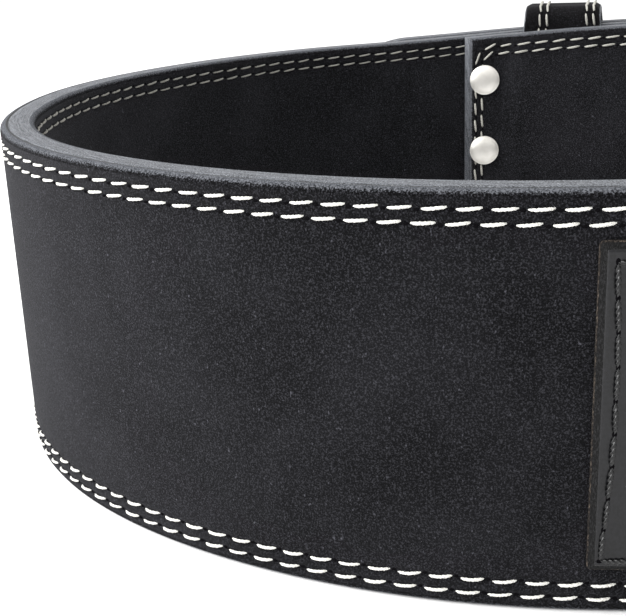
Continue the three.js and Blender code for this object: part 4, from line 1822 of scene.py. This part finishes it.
def smooth_route(points: list[Array], steps: int) -> Array:
    """A Catmull-Rom line through points.

    Args:
        points: the places that it passes.
        steps: segments of the whole line.

    Returns:
        Places on the line.
    """
    knots = np.array([points[0], *points, points[-1]])
    shares = np.linspace(0, len(points) - 1, steps + 1)
    spans = np.minimum(shares.astype(int), len(points) - 2)
    t = (shares - spans)[:, None]
    before, here, there, after = (knots[spans + k] for k in range(4))
    square, cube = t * t, t * t * t
    leave, arrive = (there - before) / 2, (after - here) / 2
    blend = (2 * here - 2 * there + leave + arrive) * cube
    return blend + (-3 * here + 3 * there - 2 * leave - arrive) * square + leave * t + here


def lathe(name: str, outline: list, around: int, materials: list[Material]) -> Piece:
    """Turn an outline of (radius, height) round Z.

    Args:
        name: the object's name.
        outline: rows in millimetres, starting and ending on the axis.
        around: segments of a turn.
        materials: the materials.

    Returns:
        The closed object.
    """
    turns = np.linspace(0, 2 * math.pi, around, endpoint=False)
    rings = [
        np.column_stack([r * np.cos(turns), r * np.sin(turns), np.full(around, z)])
        for r, z in outline
    ]
    piece = mesh_object(name, np.concatenate(rings), tube_faces(len(outline), around, False), materials)
    tidy(piece)
    return piece


# Keeper, patch and rivets


@dataclass
class Keeper:
    """The standing leather band round strap and free end, with two double rows of stitches."""

    form: StrapForm
    suede: Material
    edge: Material
    width: float = 36.0
    top_room: float = 6.8
    corner_radius: float = 6.0
    corner_steps: int = 8
    edge_drop: float = 3.5
    droop: float = 0.8
    droop_start: float = 0.85
    top_narrowing: float = 0.07
    rounding: float = 0.7
    seams: tuple[float, float] = (-8.7, 13.0)
    seam_gap: float = 3.3
    groove_depth: float = 0.2
    groove_width: float = 0.45
    groove_offsets: tuple[float, ...] = (-0.8, -0.4, 0.0, 0.4, 0.8)
    flat_margin: float = 3.0
    flat_rows: int = 9

    def __post_init__(self) -> None:
        """Work out the band's place and height."""
        form = self.form
        self.thickness = form.keeper_thickness
        self.start = -form.flap_length + form.keeper_from_flap_end
        self.end = self.start + self.width
        self.middle = (self.start + self.end) / 2
        self.height = float(form.lift(self.middle)) + form.height + self.top_room + self.thickness
        self.inner = -form.thickness - FIT - self.thickness
        self.outer = form.tongue_clearance + form.thickness + FIT + self.thickness

    def seam_places(self) -> list[float]:
        """The stitch rows' distances from the band's middle line."""
        return [seam + side * self.seam_gap / 2 for seam in self.seams for side in (-1, 1)]

    def outline(self, inset: float, spacing: float = 2.2) -> tuple[Array, Array]:
        """The band's closed line at a depth below its outer side.

        Args:
            inset: depth in millimetres.
            spacing: length of its straight segments.

        Returns:
            Points (out, up) and the directions out of the band.
        """
        wide, tall, radius = self.outer - self.inner, self.height, self.corner_radius
        corners = rounded_rectangle(wide, tall, radius, self.corner_steps)
        centres = np.clip(corners, radius, np.array([wide, tall]) - radius)
        away = (corners - centres) / radius
        lines, ways = [], []
        for i, (point, way) in enumerate(zip(corners, away)):
            after = corners[(i + 1) % len(corners)]
            lines.append(point[None])
            ways.append(way[None])
            if np.linalg.norm(after - point) > 3 * spacing:
                shares = spread(0, 1, spacing / np.linalg.norm(after - point))[1:-1, None]
                lines.append(point + (after - point) * shares)
                ways.append(np.repeat(way[None], len(shares), axis=0))
        line, way = np.concatenate(lines), np.concatenate(ways)
        return line - way * inset + np.array([self.inner, 0.0]), way

    def at(self, across: Array, line: Array) -> Array:
        """Places in the frame.

        Args:
            across: distance from the band's middle line, along the strap.
            line: (out, up) for each.

        Returns:
            Points in millimetres.
        """
        from_edge = np.minimum(across + self.width / 2, self.width / 2 - across)
        corner = np.clip(1 - from_edge / self.edge_drop, 0, 1)
        drop = self.droop * self.edge_drop * (1 - np.sqrt(1 - corner**2))
        share = np.clip((line[..., 1] / self.height - self.droop_start) / (1 - self.droop_start), 0, 1)
        over = share * share * (3 - 2 * share)
        shifted = self.middle + across * (1 - self.top_narrowing * over)
        return self.form.loop.place(shifted, line[..., 0], line[..., 1] - drop * over)

    def build(self) -> Piece:
        """The band as a closed mesh.

        Returns:
            The band.
        """
        half, thick, soft = self.width / 2, self.thickness, self.rounding
        turns = np.linspace(0, math.pi / 2, 4)
        outside = [(-half + soft * (1 - math.cos(t)), soft * (1 - math.sin(t))) for t in turns]
        seams = [seam + step for seam in self.seam_places() for step in self.groove_offsets]
        margin = half - self.flat_margin
        flats = sorted([*seams, *np.linspace(-margin, margin, self.flat_rows)])
        for across in flats:
            dent = max(math.exp(-(((across - seam) / self.groove_width) ** 2)) for seam in self.seam_places())
            outside.append((across, self.groove_depth * dent))
        outside += [(-across, depth) for across, depth in reversed(outside[: len(turns)])]
        inside = [(across, thick - depth) for across, depth in reversed(outside)]
        rings = []
        for across, depth in outside + inside:
            line, _ = self.outline(depth)
            rings.append(self.at(np.full(len(line), across), line))
        count = len(rings[0])
        faces = tube_faces(len(rings), count, True)
        piece = mesh_object("keeper_suede", np.concatenate(rings), faces, [self.suede, self.edge])
        soft_rows, half_way = len(turns), len(outside)
        edge_rows = {*range(soft_rows - 1), *range(half_way - soft_rows, half_way + soft_rows - 1)}
        edge_rows |= set(range(len(rings) - soft_rows, len(rings)))
        slots = [1 if i // count in edge_rows else 0 for i in range(len(faces))]
        piece.data.polygons.foreach_set("material_index", slots)
        tidy(piece)
        return piece

    def rows(self) -> list[Row]:
        """The stitch rows round the band's outer side.

        Returns:
            The rows, closed.
        """
        line, way = self.outline(0.0)
        rows = []
        for across in self.seam_places():
            points = self.at(np.full(len(line), across), line)
            out = self.form.loop.outward(np.full(len(line), self.middle))
            normal = np.column_stack([out * way[:, :1], way[:, 1]])
            rows.append((points, normal, True))
        return rows


@dataclass
class BackPatch:
    """The plain glossy patch on the back, with a bevelled border, a pressed line and a black seam."""

    form: StrapForm
    leather: Material
    raw_edge: Material
    bevel: Material
    width: float = 100.0
    height: float = 77.4
    rise: float = 0.7
    thickness: float = 2.0
    side_height: float = 0.9
    border: float = 1.6
    corner_radius: float = 1.2
    bar_to_middle: float = 486.9
    seam_pitch: float = 8.0
    seam_top: float = 4.3
    seam_bottom: float = 3.0
    seam_sag: tuple[float, float, float] = (2.6, 4.6, 3.6)
    line_inset: float = 6.2
    line_width: float = 0.35
    line_depth: float = 0.12
    least_radius: float = 0.25
    step: float = 2.4
    seam_samples: int = 60
    row_points: int = 50

    def outline(self, inset: float) -> Array:
        """Rounded rectangle about the patch's middle at an inset.

        Args:
            inset: distance from the patch's edge.

        Returns:
            Points (along, up).
        """
        wide, tall = self.width - 2 * inset, self.height - 2 * inset
        radius = max(self.corner_radius - inset, self.least_radius)
        return rounded_rectangle(wide, tall, radius, 3) - np.array([wide, tall]) / 2

    def at(self, line: Array, out: Array | float) -> Array:
        """Places in the frame of (along, up) about the patch's middle.

        Args:
            line: points (along, up).
            out: height above the strap's outer face.

        Returns:
            Points in millimetres.
        """
        along = self.bar_to_middle - line[:, 0]
        up = self.form.height / 2 + self.rise + line[:, 1]
        return self.form.loop.place(along, np.broadcast_to(out, len(line)), up)

    def build(self) -> Piece:
        """The patch as a closed mesh that follows the strap.

        Returns:
            The patch.
        """
        top = FIT + self.thickness
        line = self.line_inset
        # Inset and height of each ring: two rows of raw edge, two of bevel, then the face.
        profile = [
            (0.0, FIT),
            (0.0, FIT + self.side_height - 0.1),
            (0.25, FIT + self.side_height + 0.12),
            (self.border - 0.2, top - 0.45),
            (self.border, top - 0.1),
            (self.border + 0.3, top + 0.12),
            (self.border + 0.9, top),
            (line - self.line_width, top),
            (line, top - self.line_depth),
            (line + self.line_width, top),
            (line + 1.2, top),
        ]
        across = round(self.width / self.step)
        tall = round(self.height / self.step)
        rings = [self.at(self.filled(self.outline(inset), across, tall), out) for inset, out in profile]
        count = len(rings[0])
        faces = tube_faces(len(rings), count, False)
        row_slots = [1, 1, 2, 2] + [0] * (len(rings) - 5)
        slots = [slot for slot in row_slots for _ in range(count)]
        points = np.concatenate(rings)
        for level, out, flip in ((len(rings) - 1, top, False), (0, FIT, True)):
            rim = self.filled(self.outline(profile[level][0]), across, tall)
            points, added = self.sheet(points, rim, level * count, out, across, tall)
            faces += [face[::-1] if flip else face for face in added]
            slots += [1 if flip else 0] * len(added)
        materials = [self.leather, self.raw_edge, self.bevel]
        piece = mesh_object("back_patch_leather", points, faces, materials)
        piece.data.polygons.foreach_set("material_index", slots)
        tidy(piece)
        return piece

    def filled(self, outline: Array, across: int, tall: int) -> Array:
        """The outline with extra points on its straight sides, so that it can bend.

        Args:
            outline: the rounded rectangle.
            across: segments of the long sides.
            tall: segments of the short sides.

        Returns:
            The finer outline.
        """
        corner = len(outline) // 4
        points = []
        for side, steps in enumerate((tall, across, tall, across)):
            here = outline[side * corner : (side + 1) * corner]
            after = outline[(side + 1) * corner % len(outline)]
            points.append(here)
            shares = np.linspace(0, 1, steps + 1)[1:-1, None]
            points.append(here[-1] + (after - here[-1]) * shares)
        return np.concatenate(points)

    def sheet(
        self, points: Array, rim: Array, first: int, out: float, across: int, tall: int
    ) -> tuple[Array, list]:
        """Fill the rim's inside with a grid.

        Args:
            points: all corners so far.
            rim: the rim's flat points.
            first: number of the rim's first corner.
            out: height above the strap.
            across: segments of the long sides.
            tall: segments of the short sides.

        Returns:
            All corners with the new ones, and the new faces.
        """
        work = bmesh.new()
        ring = [work.verts.new((*p, 0)) for p in rim]
        work.faces.new(ring)
        low, high = rim.min(axis=0), rim.max(axis=0)
        for axis, steps in ((0, across), (1, tall)):
            for value in np.linspace(low[axis], high[axis], steps + 1)[1:-1]:
                place, way = [0.0, 0.0, 0.0], [0.0, 0.0, 0.0]
                place[axis], way[axis] = value, 1.0
                parts = work.verts[:] + work.edges[:] + work.faces[:]
                bmesh.ops.bisect_plane(work, geom=parts, dist=1e-5, plane_co=place, plane_no=way)
        work.verts.index_update()
        flat = np.array([v.co[:2] for v in work.verts])
        numbers = np.arange(len(flat)) + len(points)
        numbers[: len(rim)] = first + np.arange(len(rim))
        faces = [tuple(int(numbers[v.index]) for v in face.verts) for face in work.faces]
        work.free()
        return np.concatenate([points, self.at(flat, out)]), faces

    def rows(self) -> list[Row]:
        """The seam inside the border: its left side bows as a hand guided it.

        Returns:
            A row for each side.
        """
        low, middle, high = self.seam_sag
        left, right = -self.width / 2, self.width / 2 - self.seam_top
        bottom, top = self.seam_bottom - self.height / 2, self.height / 2 - self.seam_top
        share = np.linspace(0, 1, self.seam_samples)
        even = np.ones(len(share))
        bow = left + low + (high - low) * share + 4 * (middle - (low + high) / 2) * share * (1 - share)
        sides = (
            np.column_stack([bow, bottom + (top - bottom) * share]),
            np.column_stack([bow[-1] + (right - bow[-1]) * share, top * even]),
            np.column_stack([right * even, top + (bottom - top) * share]),
            np.column_stack([right + (bow[0] - right) * share, bottom * even]),
        )
        rows = []
        for side in sides:
            length = np.linalg.norm(side[-1] - side[0])
            half = 0.5 / round(length / self.seam_pitch)
            shares = np.linspace(half, 1 - half, self.row_points)
            line = np.column_stack([np.interp(shares, share, side[:, axis]) for axis in (0, 1)])
            out = self.form.loop.outward(self.bar_to_middle - line[:, 0])
            normal = np.column_stack([out, np.zeros(len(out))])
            rows.append((self.at(line, FIT + self.thickness), normal, False))
        return rows


@dataclass
class RivetSet:
    """Six rivets through flap and strap: a wide domed cap inside, a thin back outside."""

    form: StrapForm
    steel: Material
    dome: float = 2.6
    dome_share: float = 0.86
    back_diameter: float = 10.0
    back_thickness: float = 1.0
    shank_diameter: float = 4.8
    rim: float = 0.35
    back_rim: float = 0.3
    cap_rings: int = 15
    rim_rings: int = 5
    back_rings: int = 7
    across: int = 3
    around: int = 56

    def outline(self, along: float) -> list[tuple[float, float]]:
        """Profile of a rivet.

        Args:
            along: its place along the loop.

        Returns:
            Rows (radius, height), heights measured out of the belt from the strap's outer face.
        """
        form = self.form
        from_bar = np.array(-along)
        inside = -form.thickness - float(form.flap_gap(from_bar)) - float(form.pared(from_bar)) - FIT
        cap, back, shank = form.rivet_cap / 2, self.back_diameter / 2, self.shank_diameter / 2
        rim = self.rim
        rows = []
        for share in np.linspace(0, 1, self.cap_rings):
            rows.append((share * (cap - rim), inside - self.dome * math.sqrt(1 - self.dome_share * share**2)))
        edge = rows[-1][1]
        for turn in np.linspace(0, math.pi / 2, self.rim_rings)[1:]:
            rows.append((cap - rim + rim * math.sin(turn), edge + rim - rim * math.cos(turn)))
        rows += [(cap, inside), (shank, inside), (shank, FIT), (back, FIT)]
        low, dome = FIT + self.back_rim, self.back_thickness - self.back_rim
        for share in np.linspace(0, 1, self.back_rings):
            turn = share * math.pi / 2
            rows.append((back * math.cos(turn), low + dome * math.sin(turn)))
        return rows

    def build(self) -> list[Piece]:
        """All rivets, in the frame's order.

        Returns:
            The six rivets.
        """
        form = self.form
        pieces = []
        for along in (-form.flap_length + form.rivet_from_flap_end, -form.rivet_from_bar):
            for i in range(self.across):
                above = form.rivet_pitch * ((self.across - 1) / 2 - i)
                up = float(form.lift(along)) + form.height / 2 + above
                name = f"rivet_{len(pieces) + 1}_nickel"
                piece = lathe(name, self.outline(along), self.around, [self.steel])
                out = form.loop.outward(np.array(along))
                turn = Vector((0, 0, 1)).rotation_difference(Vector((*out, 0))).to_matrix().to_4x4()
                place = Vector(form.loop.place(np.array(along), np.array(0.0), np.array(up))) * MM
                piece.data.transform(Matrix.Translation(place) @ turn)
                pieces.append(piece)
        return pieces


# Studio


@dataclass(frozen=True)
class Studio:
    """White room, soft lights and the camera close to the belt's back.

    The camera's place and turns were solved from the belt's edges in the photograph.
    """

    camera_place: tuple[float, float, float] = (-102.2, -389.7, 154.6)
    pitch: float = 0.32469
    roll: float = -0.04129
    lens: float = 66.48
    sensor: float = 36.0
    nearest: float = 0.01
    aim: tuple[float, float, float] = (0, 0, 0.05)
    room_light: float = 1.04
    floor_size: float = 6.0

    def camera(self) -> None:
        """Set the camera by its place, pitch and roll."""
        data = bpy.data.cameras.new("camera")
        data.lens = self.lens
        data.sensor_width = self.sensor
        data.clip_start = self.nearest
        camera = bpy.data.objects.new("camera", data)
        right = Vector((1, 0, 0))
        down = Vector((0, -math.sin(self.pitch), -math.cos(self.pitch)))
        ahead = Vector((0, math.cos(self.pitch), -math.sin(self.pitch)))
        across = math.cos(self.roll) * right - math.sin(self.roll) * down
        below = math.sin(self.roll) * right + math.cos(self.roll) * down
        camera.matrix_world = Matrix((
            (across.x, -below.x, -ahead.x, self.camera_place[0] * MM),
            (across.y, -below.y, -ahead.y, self.camera_place[1] * MM),
            (across.z, -below.z, -ahead.z, self.camera_place[2] * MM),
            (0, 0, 0, 1),
        ))
        bpy.context.scene.collection.objects.link(camera)
        bpy.context.scene.camera = camera

    def lamp(self, name: str, place: tuple[float, float, float], size: float, power: float) -> None:
        """A square soft light that faces the belt's middle.

        Args:
            name: the light's name.
            place: in metres.
            size: side of the square, in metres.
            power: in watts.
        """
        data = bpy.data.lights.new(name, "AREA")
        data.size = size
        data.energy = power
        lamp = bpy.data.objects.new(name, data)
        lamp.location = place
        lamp.rotation_euler = (Vector(self.aim) - Vector(place)).to_track_quat("-Z", "Y").to_euler()
        bpy.context.scene.collection.objects.link(lamp)

    def build(self) -> None:
        """Floor, room, lights and camera."""
        half = self.floor_size / 2 / MM
        corners = np.array([(-half, -half, 0), (half, -half, 0), (half, half, 0), (-half, half, 0)], float)
        floor = mesh_object("floor", corners, [(0, 1, 2, 3)], [FloorFinish().build()])
        world = bpy.data.worlds.new("white_room")
        world.use_nodes = True
        background = world.node_tree.nodes["Background"]
        background.inputs["Color"].default_value = linear("ffffff")
        background.inputs["Strength"].default_value = self.room_light
        bpy.context.scene.world = world
        bpy.context.scene.view_settings.view_transform = "Standard"
        self.lamp("soft_light_left", (-1.4, -0.2, 0.9), 1.2, 42.0)
        self.lamp("soft_light_top", (0.2, 0.1, 1.6), 1.4, 6.0)
        self.camera()


def keep(piece: Piece, slot: str, *nodes: str) -> None:
    """Let a finished piece ride on the belt, hide the frame's parts that it replaces, and log it.

    Args:
        piece: the finished piece.
        slot: a name for its material slot, which only goes into the log.
        nodes: the nodes of the frame that it replaces.
    """
    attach(piece, BODY)
    if nodes:
        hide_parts(*nodes)
    piece.data.calc_loop_triangles()
    log.info("%s: %d triangles, slot %s", piece.name, len(piece.data.loop_triangles), slot)


def main() -> None:
    """Build the belt piece by piece, then the studio."""
    logging.basicConfig(level=logging.INFO, format="%(name)s: %(message)s")
    Studio().build()
    suede = SuedeFinish("suede_black_buffed").build()
    thin = SuedeFinish("suede_black_thin", dark="040404", light="28272a", nap=0.42, sheen=0.03)
    keeper_suede = thin.build()
    edge = DyedEdgeFinish().build()
    steel = NickelFinish("nickel_plate_polished").build()
    satin = NickelFinish("nickel_plate_satin", "f2efe9", "e2dfd8", 0.48).build()
    white = ThreadFinish("thread_white_bonded", "f6f5f0", "d2cfc6", 0.55).build()
    # The same white thread, greyed: painted shade on the stitches of the flap and the keeper.
    white_shaded = ThreadFinish("thread_white_painted_shade", "b9b7af", "8b8982", 0.65).build()
    # The same white thread, greyed more: painted shade on the stitches of the strap's inner face.
    bobbin = ThreadFinish("thread_white_bobbin_painted_shade", "a09e96", "6f6d67", 0.7).build()
    black = ThreadFinish("thread_black_waxed", "19191a", "040404", 0.3, 0.0).build()
    needle_hole = NeedleHoleFinish().build()
    form = StrapForm(LoopPlan())

    strap = Strap(form, suede, edge, FrayedEdgeFinish().build())
    buckle = Buckle(form, steel)
    leather = strap.build_leather()
    with_boolean(leather, strap.cutters(), "DIFFERENCE")
    with_boolean(leather, buckle.fold_slot(edge), "DIFFERENCE")
    with_boolean(leather, buckle.prong(buckle.prong_clearance), "DIFFERENCE")
    keep(leather, "suede_leather", "belt_strap")
    keep(buckle.build(), "buckle_steel", "buckle")

    tree = StitchTree().build()
    sizes = StitchSizes()
    outer = SeamRows("strap_stitches_outer", tree, sizes, white, needle_hole)
    keep(outer.build(strap.outer_rows(False)), "stitch_thread")
    flap = SeamRows("flap_stitches", tree, StitchSizes(diameter=0.9), white_shaded, needle_hole)
    keep(flap.build(strap.outer_rows(True)), "stitch_thread")
    inner = SeamRows("strap_stitches_inner", tree, StitchSizes(diameter=0.7, rise=0.6), bobbin, needle_hole)
    keep(inner.build(strap.inner_rows()), "stitch_thread")

    keeper = Keeper(form, keeper_suede, edge)
    keep(keeper.build(), "keeper_leather", "keeper_loop")
    stout = StitchSizes(pitch=6.2, length=5.2, diameter=0.95)
    band = SeamRows("keeper_stitches", tree, stout, white_shaded, needle_hole)
    keep(band.build(keeper.rows()), "stitch_thread")

    bevel = RawEdgeFinish("leather_bevel_scraped", "060606", "252526", 0.32).build()
    patch = BackPatch(form, PatchLeatherFinish().build(), RawEdgeFinish().build(), bevel)
    keep(patch.build(), "patch_leather", "back_patch")
    rope = StitchSizes(
        pitch=patch.seam_pitch,
        length=7.4,
        diameter=1.02,
        rise=0.7,
        tilt=0.0,
        twist=math.radians(680),
        hole_width=0.9,
    )
    rope_tree = StitchTree(ring=18, stations=25, lobe=0.3).build()
    seam = SeamRows("patch_stitches", rope_tree, rope, black, needle_hole)
    keep(seam.build(patch.rows()), "patch_thread")

    for number, rivet in enumerate(RivetSet(form, satin).build(), 1):
        keep(rivet, "rivet_steel", f"rivet_{number}")


if __name__ == "__main__":
    main()
